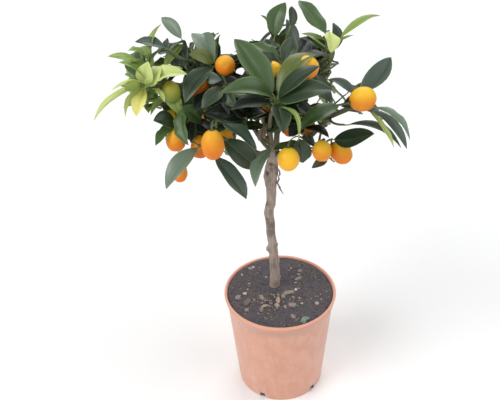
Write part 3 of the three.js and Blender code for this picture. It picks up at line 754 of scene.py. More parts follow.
class Crown:
    """The growth of the whole crown, by one seeded rule."""

    def __init__(self):
        self.room, self.sight = Room(), Sight()
        self.twigs, self.leaves, self.fruit = [], [], []
        self.boughs = grow_boughs()
        self.take_limbs()
        self.wood = {name: [] for name in FOLIAGE}
        self.tips = [Vector(tuft[0]) for mass in MASSES for tuft in mass["tufts"]]
        for mass in MASSES:
            self.grow_stem(mass)
        for mass in MASSES:
            for tuft in mass["tufts"]:
                self.grow_leading_tuft(mass, *tuft)
        for mass in MASSES:
            for x, y, z, turn, rise, length, width, colour in mass["fruits"]:
                self.add_fruit(mass, Vector((x, y, z)), heading(turn, rise), length, width, colour)
        for leaf in self.leaves:
            self.sight.mark(even_blade(leaf, 40, 15))
        for fruit in self.fruit:
            self.sight.mark(fruit_points(ball(24, 36)[0], fruit))
        for seed, mass in enumerate(MASSES, 1):
            for k in range(mass["fill"]):
                self.grow_filling_tuft(mass, seed, k)
        for k in range(FINE["tries"]):
            for seed, mass in enumerate(MASSES, 1):
                self.grow_fine_twig(mass, seed, k)

    def take_limbs(self):
        """The room of the trunk and boughs."""
        steps = [k / 13 for k in range(14)]
        trunk = tube([trunk_point(s) for s in steps], [trunk_at(s, 3) for s in steps], 12)
        self.room.take(trunk, "limbs")
        for bow, (root, tip) in self.boughs.values():
            radii = [mix(root, tip, k / 4) for k in range(5)]
            self.room.take(tube(bow.line(4), radii, 6), "limbs")

    def add_wood(self, mass, bow):
        """Lets later shoots of the mass start from a twig."""
        steps = max(2, round(bow.length / 8))
        self.wood[mass["name"]] += [bow.at(k / steps) for k in range(1, steps + 1)]

    def nearest_wood(self, mass, point):
        """The place on the wood of a mass that is nearest to a point."""
        return min(self.wood[mass["name"]], key=lambda spot: (spot - point).length)

    def grow_stem(self, mass):
        """The stem that carries a mass on from its bough's tip to its heart."""
        bow, (_, radius) = self.boughs[mass["name"].replace("foliage", "bough")]
        start, way, end = bow.at(1), bow.way(1), Vector(mass["heart"])
        stem = Bow(start, start + way * ((start - end).length / 2), end)
        radii = [mix(radius, TWIG["stem_tip"], k / 3) for k in range(4)]
        self.room.take(tube(stem.line(3), radii, 4), mass["name"])
        self.twigs.append(dict(bow=stem, radii=(radius, TWIG["stem_tip"]), green=False))
        self.add_wood(mass, stem)

    def add_shoot(self, mass, tip, way):
        """Grows a shoot from the nearest wood to a tip, and tells whether there was room for it."""
        start = self.nearest_wood(mass, tip - way * TWIG["straight"])
        shoot = Bow(start, tip - way * min(TWIG["straight"], (start - tip).length / 2), tip)
        radii = (TWIG["root"], TWIG["tip"])
        line, sizes = shoot.line(2), [mix(*radii, k / 2) for k in range(3)]
        free = self.room.free(tube(line, [size + CLEAR for size in sizes], 3), mass["name"])
        if free:
            self.room.take(tube(line, sizes, 3), mass["name"])
            self.twigs.append(dict(bow=shoot, radii=radii, green=True))
            self.add_wood(mass, shoot)
        return free

    def add_fruit(self, mass, centre, way, length, width, colour):
        """Grows a fruit that hangs from the nearest wood, where there is room for it."""
        start = self.nearest_wood(mass, centre - way * (length / 2))
        fruit = dict(centre=centre, way=way, length=length, width=width, colour=colour, start=start)
        if self.room.free(fruit_hull(fruit, CLEAR), mass["name"]):
            self.room.take(fruit_hull(fruit, 0), mass["name"])
            self.fruit.append(fruit)

    def new_leaf(self, foot, run, length, breadth, tint, roll=0, arch=LEAF["arch"], **traits):
        """A leaf from its foot along its run, with any further traits of its own."""
        return dict(
            foot=foot, run=run, face=face_of(run, foot, roll), length=length, breadth=breadth,
            arch=arch, tint=tint, seed=len(self.leaves), **traits,
        )

    def grow_leading_tuft(self, mass, tip, aim, tint, leaves):
        """A shoot with leaves that each have their own way and size, measured from its tip."""
        end, way = Vector(tip), heading(*aim)
        if not self.add_shoot(mass, end, way):
            return
        for i, (turn, rise, length, *rest) in enumerate(leaves):
            breadth, roll, arch, fold, sickle, wave = (*rest, *PLAIN_LEAF[len(rest):])
            foot = end - way * (TWIG["spacing"] * i)
            reach = end + heading(turn, rise) * length - foot
            leaf = self.new_leaf(
                foot, reach.normalized(), reach.length, breadth * length / reach.length, tint, roll,
                arch, fold=fold, sickle=sickle, wave=wave,
            )
            self.room.take(leaf_hull(leaf, LEADING, 0), mass["name"])
            self.leaves.append(leaf)

    def leaf_fits(self, leaf, mass):
        """True where a leaf keeps to its mass, touches nothing and hides none of the leading leaves."""
        centre, reach = mass["space"]
        tip = leaf["foot"] + leaf["run"] * leaf["length"]
        away = Vector([(t - c) / r for t, c, r in zip(tip, centre, reach)])
        bare = LEAF["bare"] * leaf["length"]
        blade_part = dict(leaf, foot=leaf["foot"] + leaf["run"] * bare, length=leaf["length"] - bare)
        return (
            away.length < 1
            and self.room.free(leaf_hull(blade_part, FILLING, 0))
            and self.room.free(leaf_hull(leaf, FILLING, CLEAR), mass["name"])
            and self.sight.stays_behind(even_blade(leaf, 16, 5))
        )

    def add_leaf(self, mass, leaf):
        """Grows a leaf where it fits, and tells whether it did."""
        fits = self.leaf_fits(leaf, mass)
        if fits:
            self.room.take(leaf_hull(leaf, FILLING, 0), mass["name"])
            self.leaves.append(leaf)
        return fits

    @staticmethod
    def tint_at(spot, tint):
        """Deep inside the crown all leaves take the near-black shade tint, as painted shade."""
        inside = [(s - c) / r for s, c, r in zip(spot, *INNER)]
        return "shade" if math.hypot(*inside) < 1 else tint

    @staticmethod
    def spray_tint(mass, number, k):
        """The tint of a spray: mostly its mass's own."""
        return mass["tint"] if number < OWN_TINT else FILL_TINTS[k % len(FILL_TINTS)]

    @staticmethod
    def spread(way, side, opening, spin):
        """The way of a leaf that opens from a shoot and stands round it, in degrees."""
        opening = math.radians(opening)
        away = Matrix.Rotation(math.radians(spin), 3, way) @ side
        return way * math.cos(opening) + away * math.sin(opening)

    def grow_filling_tuft(self, mass, seed, k):
        """One of the tufts that are dealt evenly over a mass, with leaves all round its shoot."""
        centre, reach = mass["space"]
        level = 1 - (2 * k + 1) / mass["fill"]
        turn = GOLDEN * k + 360 * chance(seed, 0, 0)
        spot = heading(turn, math.degrees(math.asin(level)))
        out = FILL["out"] * (FILL["out_least"] + FILL["out_range"] * chance(seed, k, 1))
        end = Vector([c + r * s * out for c, r, s in zip(centre, reach, spot)])
        if any((other - end).length < FILL["room"] for other in self.tips):
            return
        way = (spot + UP * FILL["up"]).normalized()
        if not self.add_shoot(mass, end, way):
            return
        self.tips.append(end)
        side = way.cross(heading(turn + 90, 0)).normalized()
        tint = self.spray_tint(mass, chance(seed, k, 2), k)
        for i in range(FILL["leaves"]):
            opening = mix(*FILL["opening"], i / (FILL["leaves"] - 1))
            foot = end - way * (FILL["spacing"] * i)
            full = FILL["length"] * (FILL["least"] + FILL["range"] * chance(seed, k, 20 + i))
            for retry in range(FILL["tries"]):
                spin = GOLDEN * i + FILL["turn"] * retry + FILL["loose"] * chance(seed, k, 10 + i)
                run = self.spread(way, side, opening, spin)
                length = full * (1 - FILL["shrink"] * retry)
                leaf = self.new_leaf(foot, run, length, LEAF["breadth"], self.tint_at(foot, tint))
                if self.add_leaf(mass, leaf):
                    break
        if k % FILL_FRUIT["each"] == 1 and end.y > FILL_FRUIT["behind"]:
            hang = end - way * FILL_FRUIT["back"] - UP * FILL_FRUIT["hang"]
            self.add_fruit(mass, hang, heading(turn, FILL_FRUIT["rise"]), *FILL_FRUIT["size"], "ripe")

    def grow_fine_twig(self, mass, seed, k):
        """A short twig with a few small leaves, from any wood of its mass."""
        wood = self.wood[mass["name"]]
        start = wood[int(chance(seed, k, 30) * len(wood))]
        centre = Vector(mass["space"][0])
        out = (start - centre).normalized() if (start - centre).length > 1 else UP
        loose = heading(360 * chance(seed, k, 31), mix(*FINE["rise"], chance(seed, k, 32)))
        way = (out * FINE["out"] + loose + UP * FINE["up"]).normalized()
        tip = start + way * mix(*FINE["twig"], chance(seed, k, 33))
        twig = Bow(start, start.lerp(tip, 0.5) - UP * FINE["sag"], tip)
        if not self.sight.stays_behind(twig.line(4)):
            return
        side = way.orthogonal().normalized()
        tint = self.spray_tint(mass, chance(seed, k, 34), k)
        before = len(self.leaves)
        for i in range(FINE["leaves"]):
            opening = mix(*FINE["opening"], i / (FINE["leaves"] - 1))
            run = self.spread(way, side, opening, GOLDEN * i + 360 * chance(seed, k, 35))
            foot = tip - way * (FINE["spacing"] * i)
            length = mix(*FINE["length"], chance(seed, k, 40 + i))
            breadth = mix(*FINE["breadth"], chance(seed, k, 50 + i))
            self.add_leaf(mass, self.new_leaf(foot, run, length, breadth, self.tint_at(foot, tint)))
        if len(self.leaves) > before:
            root, end = FINE["radii"]
            self.twigs.append(dict(bow=twig, radii=FINE["radii"], green=True))
            self.room.take(tube(twig.line(2), (root, (root + end) / 2, end), 3), mass["name"])
            self.add_wood(mass, twig)


@functools.cache
def crown():
    """The crown, grown once for all the pieces that are made of it."""
    return Crown()


# ---- Shapes ------------------------------------------------------------------------------------


def outline(t):
    """Share of a blade's full width at shares of its length."""
    a, b = SWELL
    peak = a / (a + b)
    return (t / peak) ** a * ((1 - t) / (1 - peak)) ** b


def own(leaf, trait, usual):
    """A leaf's own value of a trait, or else the usual one."""
    value = leaf.get(trait)
    return usual if value is None else value


def blade(leaf, stations, columns, lift=0.0):
    """Points of a leaf's blade, one row of columns at each station."""
    draw = [chance(leaf["seed"], 7, k) for k in range(7)]
    t = np.asarray(stations)[:, None]
    u = np.asarray(columns)[None, :]
    length = leaf["length"]
    share = LEAF_STALK + (1 - LEAF_STALK) * t
    half = np.maximum(leaf["breadth"] * length / 2 * outline(t), 0.25)
    across = u * half
    width = np.abs(across)
    fold = own(leaf, "fold", mix(*BLADE["fold"], draw[0]))
    wave = own(leaf, "wave", mix(*BLADE["wave"], draw[1] ** 2))
    sickle = own(leaf, "sickle", mix(-1, 1, draw[5]) * BLADE["sickle"])
    droop, (rib, rib_width) = mix(*BLADE["droop"], draw[6]), BLADE["rib"]
    crests = mix(*BLADE["crests"], draw[2]) * t + draw[3] + 0.1 * np.sign(u)
    height = 4 * leaf["arch"] * length * share * (1 - share) + lift
    height = height + fold * width * (1 - BLADE["flatten"] * np.abs(u))
    height = height - rib * np.exp(-((u / rib_width) ** 2)) * np.sin(np.pi * t)
    height = height + wave * half * u**2 * np.sin(2 * np.pi * crests)
    height = height - droop * length * np.clip(t - BLADE["droop_from"], 0, 1) ** 2
    twist = mix(-1, 1, draw[4]) * BLADE["twist"] * (t - 0.1)
    turned_across = across * np.cos(twist) + sickle * length * np.sin(np.pi * t)
    turned_height = height + across * np.sin(twist)
    foot, run, face = (np.array(leaf[key]) for key in ("foot", "run", "face"))
    side = np.cross(face, run)
    along = share * length + 0 * u
    points = foot + along[..., None] * run + turned_across[..., None] * side
    return (points + turned_height[..., None] * face).reshape(-1, 3)


def even_blade(leaf, rows, columns):
    """A blade with its rows and columns spaced evenly."""
    return blade(leaf, np.linspace(0, 1, rows), np.linspace(-1, 1, columns))


class Shape:
    """Points and faces gathered piece by piece, with the finish of each face."""

    def __init__(self):
        self.points, self.faces, self.finishes = [], [], []
        self.count = 0

    def add(self, points, faces, finish=0):
        """Takes in a mesh with one finish for all its faces, or one for each."""
        points, faces = np.asarray(points, float), np.asarray(faces, int)
        self.points.append(points)
        self.faces.append(np.where(faces < 0, -1, faces + self.count))
        self.finishes.append(np.broadcast_to(np.asarray(finish, int), (len(faces),)))
        self.count += len(points)

    def build(self, name, finishes, sharp=()):
        """One object of all that was gathered, in metres, with sharp edges in some finishes."""
        points, faces = np.concatenate(self.points) * MM, np.concatenate(self.faces)
        mesh = bpy.data.meshes.new(name)
        mesh.vertices.add(len(points))
        mesh.vertices.foreach_set("co", points.ravel())
        corners = faces[faces >= 0]
        sizes = (faces >= 0).sum(1)
        mesh.loops.add(len(corners))
        mesh.loops.foreach_set("vertex_index", corners)
        mesh.polygons.add(len(faces))
        mesh.polygons.foreach_set("loop_start", np.cumsum(sizes) - sizes)
        dealt = np.concatenate(self.finishes)
        mesh.polygons.foreach_set("material_index", dealt)
        mesh.polygons.foreach_set("use_smooth", ~np.isin(dealt, sharp))
        mesh.update(calc_edges=True)
        mesh.validate()
        for finish in finishes:
            mesh.materials.append(finish)
        return add_object(name, mesh)


def add_object(name, mesh):
    thing = bpy.data.objects.new(name, mesh)
    bpy.context.scene.collection.objects.link(thing)
    return thing


def seat(piece, slot, *nodes):
    """Sets a piece on the tree's one body, in place of the plain solids it stands for."""
    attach(piece, "root")
    if nodes:
        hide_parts(*nodes)
    return piece


# ---- Finishes ----------------------------------------------------------------------------------


def fill_in(made, **values):
    """Sets a node's values. A name is an input's name with _ for a space, or a setting of the node."""
    for key, value in values.items():
        name = key.replace("_", " ")
        if name in made.inputs:
            made.inputs[name].default_value = value
        else:
            setattr(made, key, value)
    return made


def new_finish(name, colour, roughness, **values):
    """A plain finish and its node tree and shader, which takes further values by name."""
    material = bpy.data.materials.new(name)
    material.use_nodes = True
    tree = material.node_tree
    shader = fill_in(
        tree.nodes["Principled BSDF"], Base_Color=(*colour, 1), Roughness=roughness,
        Coat_Roughness=0.25, **values,
    )
    return material, tree, shader


def node(tree, kind, **values):
    return fill_in(tree.nodes.new(kind), **values)


def own_place(tree):
    """A point's place in its piece's own space, as a socket."""
    return node(tree, "ShaderNodeTexCoord").outputs["Object"]


def height_of(tree, source):
    """The part of a vector along Z, as a socket."""
    parts = node(tree, "ShaderNodeSeparateXYZ")
    tree.links.new(source, parts.inputs["Vector"])
    return parts.outputs["Z"]


def grain(tree, scale, detail=4.0, stretch=(1, 1, 1), rough=0.55):
    """Noise in the piece's own space, as a socket."""
    mapping = node(tree, "ShaderNodeMapping", Scale=stretch)
    tree.links.new(own_place(tree), mapping.inputs["Vector"])
    pattern = node(tree, "ShaderNodeTexNoise", Scale=scale, Detail=detail, Roughness=rough)
    tree.links.new(mapping.outputs["Vector"], pattern.inputs["Vector"])
    return pattern.outputs["Fac"]


def swept(tree, source, low, high, top=1.0, smooth=True):
    """A socket that goes from 0 to a top while its source goes from low to high."""
    made = node(
        tree, "ShaderNodeMapRange", interpolation_type="SMOOTHSTEP" if smooth else "LINEAR",
        From_Min=low, From_Max=high, To_Max=top,
    )
    tree.links.new(source, made.inputs["Value"])
    return made.outputs["Result"]


def ramp(tree, source, stops):
    """Colours dealt along a socket's value."""
    made = node(tree, "ShaderNodeValToRGB")
    band = made.color_ramp
    while len(band.elements) < len(stops):
        band.elements.new(0.5)
    for element, (place, colour) in zip(band.elements, stops):
        element.position = place
        element.color = (*colour, 1)
    tree.links.new(source, made.inputs["Fac"])
    return made.outputs["Color"]


def shaded(colour, factor):
    """A darker or lighter tone of a colour."""
    return tuple(min(1.0, part * factor) for part in colour)


def between(first, second, share):
    """A colour between two."""
    return tuple(mix(a, b, share) for a, b in zip(first, second))


def tones(tree, source, colour, *steps):
    """Darker and lighter tones of a colour, dealt along a socket's value."""
    return ramp(tree, source, [(place, shaded(colour, factor)) for place, factor in steps])


def blend_colours(tree, share, first, second):
    """A share of the second colour over the first. Each may be a socket or a plain value."""
    made = node(tree, "ShaderNodeMix", data_type="RGBA")
    for socket, value in ((0, share), (6, first), (7, second)):
        if isinstance(value, bpy.types.NodeSocket):
            tree.links.new(value, made.inputs[socket])
        else:
            made.inputs[socket].default_value = value if socket == 0 else (*value, 1)
    return made.outputs[2]


def relief(tree, shader, height, strength, depth):
    """Bump of the given depth, in millimetres, from a socket."""
    bump = node(tree, "ShaderNodeBump", Strength=strength, Distance=depth * MM)
    tree.links.new(height, bump.inputs["Height"])
    before = shader.inputs["Normal"]
    if before.is_linked:
        tree.links.new(before.links[0].from_socket, bump.inputs["Normal"])
    tree.links.new(bump.outputs["Normal"], before)


def pot_finish(colours):
    material, tree, shader = new_finish(
        "faded_terracotta_plastic", colours.body, 0.55, Sheen_Weight=0.35, Sheen_Roughness=0.5,
        Sheen_Tint=(1, 0.9, 0.85, 1),
    )
    large = grain(tree, 16, 4, (1, 1, 0.8))
    blots = grain(tree, 60, 5, (1, 1, 0.6))
    fine = grain(tree, 260, 4, (1, 1, 0.5))
    body = tones(tree, large, colours.body, (0.3, 0.93), (0.7, 1.06))
    for share, pattern, low, high in ((0.22, blots, 0.42, 0.7), (0.1, fine, 0.4, 0.62)):
        dust = ramp(tree, pattern, [(low, colours.body), (high, colours.dust)])
        body = blend_colours(tree, share, body, dust)
    # The body is painted darker for the shade under the rim band, and the band's top edge is painted
    # lighter and more orange for the light on the rolled rim.
    height, top = height_of(tree, own_place(tree)), POT_BOX[1][2]
    painted_shade_under_rim = swept(tree, height, top - 0.034, top - 0.013, 0.55)
    body = blend_colours(tree, painted_shade_under_rim, body, shaded(colours.body, 0.78))
    painted_rim_light = swept(tree, height, top - 0.012, top - 0.003, smooth=False)
    rim = blend_colours(tree, painted_rim_light, body, colours.rim)
    tree.links.new(rim, shader.inputs["Base Color"])
    relief(tree, shader, large, 0.15, 0.8)
    relief(tree, shader, fine, 0.1, 0.12)
    return material


def soil_finish(colours):
    material, tree, shader = new_finish("peat_compost", colours.soil, 0.95)
    clods = grain(tree, 70, 6)
    crumbs = grain(tree, 420, 6, rough=0.7)
    dark = tones(tree, crumbs, colours.soil, (0.32, 0.45), (0.68, 1.7))
    brown = ramp(tree, grain(tree, 34, 4), [(0.48, colours.soil), (0.62, shaded(colours.chip, 0.42))])
    tree.links.new(blend_colours(tree, 0.35, dark, brown), shader.inputs["Base Color"])
    relief(tree, shader, clods, 0.6, 2.0)
    relief(tree, shader, crumbs, 0.8, 1.0)
    return material


# Finishes of one plain grain: roughness, grain, tones and relief.
CRUMB = dict(rough=0.9, pattern=(600, 4), steps=((0.3, 0.65), (0.7, 1.25)), bump=(0.6, 0.5))
TWIG_BARK = dict(
    rough=0.6, pattern=(300, 4, (1, 1, 0.3)), steps=((0.35, 0.7), (0.68, 1.25)), bump=(0.4, 0.3)
)


def grained_finish(name, colour, rough, pattern, steps, bump):
    """A finish whose tones and relief follow one grain."""
    material, tree, shader = new_finish(name, colour, rough)
    specks = grain(tree, *pattern)
    tree.links.new(tones(tree, specks, colour, *steps), shader.inputs["Base Color"])
    relief(tree, shader, specks, *bump)
    return material


def stained_and_shaded(tree, colour, stain_and_shade):
    """A colour with the stains of the old bark, and the painted shade in its sunken hole and cracks, each
    with a ragged edge.
    """
    spot, ragged = own_place(tree), grain(tree, 330, 4)
    wander, start, full = STAIN_EDGE
    for place, reach, share in STAINS_AND_HOLLOW_SHADE:
        away = node(tree, "ShaderNodeVectorMath", operation="DISTANCE")
        away.inputs[1].default_value = [part * MM for part in place]
        tree.links.new(spot, away.inputs[0])
        # Noise is added to the distance, so the stain's edge wanders in and out.
        edge = node(tree, "ShaderNodeMath", operation="MULTIPLY_ADD")
        edge.inputs[1].default_value = wander * reach * MM
        tree.links.new(ragged, edge.inputs[0])
        tree.links.new(away.outputs["Value"], edge.inputs[2])
        near = swept(tree, edge.outputs["Value"], start * reach * MM, full * reach * MM, share)
        colour = blend_colours(tree, near, colour, stain_and_shade)
    return colour


def bark_finish(colours):
    material, tree, shader = new_finish("grey_brown_bark", colours.bark, 0.85)
    patches = grain(tree, 40, 5, (1, 1, 0.45))
    streaks = grain(tree, 330, 6, (1, 1, 0.16), 0.65)
    specks = grain(tree, 900, 3)
    tone = tones(tree, patches, colours.bark, (0.32, 0.5), (0.48, 0.9), (0.68, 1.3))
    cracks = tones(tree, streaks, colours.bark, (0.35, 0.5), (0.62, 1.3))
    marked = blend_colours(tree, 0.5, tone, cracks)
    young = swept(
        tree, height_of(tree, own_place(tree)), *(height * MM for height in YOUNG_WOOD), smooth=False
    )
    green = tones(tree, streaks, colours.twig, (0.35, 0.6), (0.62, 1.3))
    marked = blend_colours(tree, young, marked, green)
    # Dark stains, with painted shade in the sunken hole and cracks at the head of the trunk.
    marked = stained_and_shaded(tree, marked, shaded(colours.bark, 0.22))
    tree.links.new(marked, shader.inputs["Base Color"])
    relief(tree, shader, streaks, 0.55, 0.7)
    relief(tree, shader, specks, 0.3, 0.2)
    return material


def leaf_finish(name, colour, roughness, wax=0.0):
    """A leaf's face: one plain colour by spray, with a fine relief under its wax."""
    material, tree, shader = new_finish(name, colour, roughness, Coat_Weight=wax)
    relief(tree, shader, grain(tree, 90, 3), 0.3, 1.2)
    relief(tree, shader, grain(tree, 700, 2), 0.12, 0.12)
    return material


def peel_finish(name, colour, glow):
    """Citrus peel: oil pores, a soft waxy shine, and a painted highlight: a lighter, yellower colour on
    the side that faces up.
    """
    material, tree, shader = new_finish(
        name, colour, 0.38, Specular_IOR_Level=0.28, Subsurface_Weight=0.12,
        Subsurface_Radius=(0.004, 0.0015, 0.0005),
    )
    blush = tones(tree, grain(tree, 45, 3), colour, (0.3, 1), (0.75, 1.12))
    facing = node(tree, "ShaderNodeNewGeometry").outputs["Normal"]
    # Painted highlight: the side that faces up is painted yellower, as if lit from above.
    sunny = swept(tree, height_of(tree, facing), -0.2, 1.0)
    tree.links.new(blend_colours(tree, sunny, blush, glow), shader.inputs["Base Color"])
    pores = node(tree, "ShaderNodeTexVoronoi", Scale=620, feature="F1")
    tree.links.new(own_place(tree), pores.inputs["Vector"])
    relief(tree, shader, pores.outputs["Distance"], 0.4, 0.5)
    return material


# ---- Settings ----------------------------------------------------------------------------------


def colour_property(name, description, default):
    return FloatVectorProperty(
        name=name, description=description, default=default, subtype="COLOR", min=0, max=1, size=3
    )


def size_property(name, description, default):
    return FloatProperty(
        name=name, description=description, default=default, min=0, unit="LENGTH", precision=4
    )


def count_property(name, description, default, least=0):
    return IntProperty(name=name, description=description, default=default, min=least)


def strength_property(name, description, default):
    return FloatProperty(name=name, description=description, default=default, min=0)


class KUMQUAT_PG_pot(bpy.types.PropertyGroup):
    """Sizes and colours of the pot."""

    height: size_property("Height", "Height of the pot over its rim", POT_BOX[1][2])
    rim_radius: size_property("Rim radius", "Outer radius of the rolled rim", POT_BOX[1][0])
    foot_radius: size_property("Foot radius", "Radius of the pot where it stands", 0.0715)
    top_radius: size_property("Top radius", "Radius of the body under the rim band", 0.0855)
    rim_band: size_property("Rim band", "Height of the band under the rim", 0.015)
    wall: size_property("Wall", "Thickness of the wall", 0.0018)
    bead: size_property("Bead", "Radius of the rolled rim", 0.0022)
    body: colour_property("Body", "Colour of the pot's body", (0.61, 0.28, 0.187))
    # Painted light: the rolled rim is painted lighter and more orange for how light falls on its curve.
    rim: colour_property("Rim", "Colour of the rolled rim", (0.74, 0.36, 0.25))
    dust: colour_property("Dust", "Colour of the dry dust on the pot", (0.8, 0.56, 0.46))


class KUMQUAT_PG_soil(bpy.types.PropertyGroup):
    """Numbers and colours of what makes up the soil and lies on it."""

    crumbs: count_property("Crumbs", "Number of crumbs on the soil", 1350)
    chips: count_property("Chips", "Number of bark chips on the soil", 110)
    litter: count_property("Litter", "Number of pieces before the stem", 110)
    grit: count_property("Grit", "Number of white grains on the soil", 46)
    fibres: count_property("Fibres", "Number of dry fibres on the soil", 14)
    soil: colour_property("Soil", "Colour of the compost", (0.085, 0.074, 0.083))
    chip: colour_property("Chip", "Colour of the bark chips", (0.29, 0.232, 0.205))
    grain: colour_property("Grain", "Colour of the white grains", (0.62, 0.55, 0.47))
    fibre: colour_property("Fibre", "Colour of the dry fibres", (0.36, 0.26, 0.2))


class KUMQUAT_PG_wood(bpy.types.PropertyGroup):
    """Sizes and colours of the trunk, boughs and twigs."""

    skin: size_property("Skin step", "Size of the faces of the bark", 0.0011)
    relief: size_property("Relief", "Height of the bark's unevenness", 0.0006)
    bark: colour_property("Bark", "Colour of the bark", (0.345, 0.272, 0.226))
    twig: colour_property("Twig", "Colour of the old twigs", (0.12, 0.105, 0.07))
    shoot: colour_property("Shoot", "Colour of the green shoots", (0.12, 0.15, 0.05))
    dead: colour_property("Dead wood", "Colour of the dry twig", (0.2, 0.16, 0.13))


class KUMQUAT_PG_leaves(bpy.types.PropertyGroup):
    """Sizes and colours of the leaves."""

    thickness: size_property("Thickness", "Thickness of a leaf", 0.0004)
    stations: count_property("Stations", "Rows of points of a leaf", 13, 4)
    deep: colour_property("Old leaf", "Colour of the dark old leaves", (0.024, 0.045, 0.02))
    # Painted shade: near-black leaves for the shade deep in the crown.
    shade: colour_property("Inner leaf", "Colour of the leaves deep in the crown", (0.008, 0.014, 0.011))
    # Painted sheen: the dull and the bright bluish leaves are old leaves painted bluish grey for the
    # light of the sky on their wax.
    dusk: colour_property("Dull leaf", "Colour of the dull bluish leaves", (0.055, 0.085, 0.062))
    pale: colour_property("Bright leaf", "Colour of the bright bluish leaves", (0.15, 0.205, 0.145))
    green: colour_property("Leaf", "Colour of the full-grown leaves", (0.05, 0.1, 0.026))
    olive: colour_property("Olive leaf", "Colour of the olive leaves", (0.1, 0.13, 0.022))
    fresh: colour_property("Fresh leaf", "Colour of the fresh leaves", (0.24, 0.34, 0.075))
    young: colour_property("Young leaf", "Colour of the young leaves", (0.56, 0.64, 0.22))
    lemon: colour_property("Pale leaf", "Colour of the palest young leaves", (0.74, 0.7, 0.2))
    dry: colour_property("Dry leaf", "Colour of the dry leaves", (0.2, 0.15, 0.11))
    under: colour_property("Underside", "Colour of the leaves' undersides", (0.3, 0.4, 0.16))
    # The edge colour is painted light along the margins, a pale back-lit sheen; on the midribs it is
    # their own paler colour.
    edge: colour_property("Edge", "Colour of the leaves' edges and midribs", (0.26, 0.36, 0.1))


class KUMQUAT_PG_fruit(bpy.types.PropertyGroup):
    """Colours of the fruit."""

    ripe: colour_property("Ripe", "Colour of the ripe fruit", (0.7, 0.19, 0.008))
    amber: colour_property("Amber", "Colour of the amber fruit", (0.73, 0.235, 0.01))
    golden: colour_property("Golden", "Colour of the golden fruit", (0.86, 0.44, 0.02))
    # Partly painted shade: the fruit deep in the crown take this darker, redder colour, which is also a
    # riper tone.
    deep: colour_property("Deep", "Colour of the reddest fruit", (0.6, 0.13, 0.012))
    turning: colour_property("Turning", "Colour of the fruit that turn ripe", (0.19, 0.23, 0.035))
    unripe: colour_property("Unripe", "Colour of the unripe fruit", (0.17, 0.26, 0.05))
    # Painted highlight: the lighter, yellower colour of a fruit's upper side.
    sunny: colour_property("Sunny side", "Colour of a fruit's side in the sun", (0.96, 0.6, 0.035))
    stalk: colour_property("Stalk", "Colour of the fruit stalks", (0.1, 0.13, 0.045))


class KUMQUAT_PG_stage(bpy.types.PropertyGroup):
    """Floor, lamps and camera."""

    floor: colour_property("Floor", "Colour of the floor", (0.93, 0.93, 0.93))
    sky: strength_property("Sky", "Strength of the light overhead", 0.36)
    horizon: strength_property("Horizon", "Share of that light lower down", 0.25)
    key: strength_property("Key lamp", "Strength of the lamp at the left", 1.6)
    front: strength_property("Front lamp", "Strength of the low lamp", 0.8)
    side: strength_property("Side lamp", "Strength of the right lamp", 1.1)
    back: strength_property("Back lamp", "Strength of the back lamp", 1.1)
    lens: FloatProperty(
        name="Lens", description="Focal length of the camera", default=SENSOR * EYE_LENS, unit="CAMERA"
    )


class KUMQUAT_PG_tree(bpy.types.PropertyGroup):
    """All settings of the potted tree."""

    pot: PointerProperty(type=KUMQUAT_PG_pot)
    soil: PointerProperty(type=KUMQUAT_PG_soil)
    wood: PointerProperty(type=KUMQUAT_PG_wood)
    leaves: PointerProperty(type=KUMQUAT_PG_leaves)
    fruit: PointerProperty(type=KUMQUAT_PG_fruit)
    stage: PointerProperty(type=KUMQUAT_PG_stage)


# ---- Pieces ------------------------------------------------------------------------------------


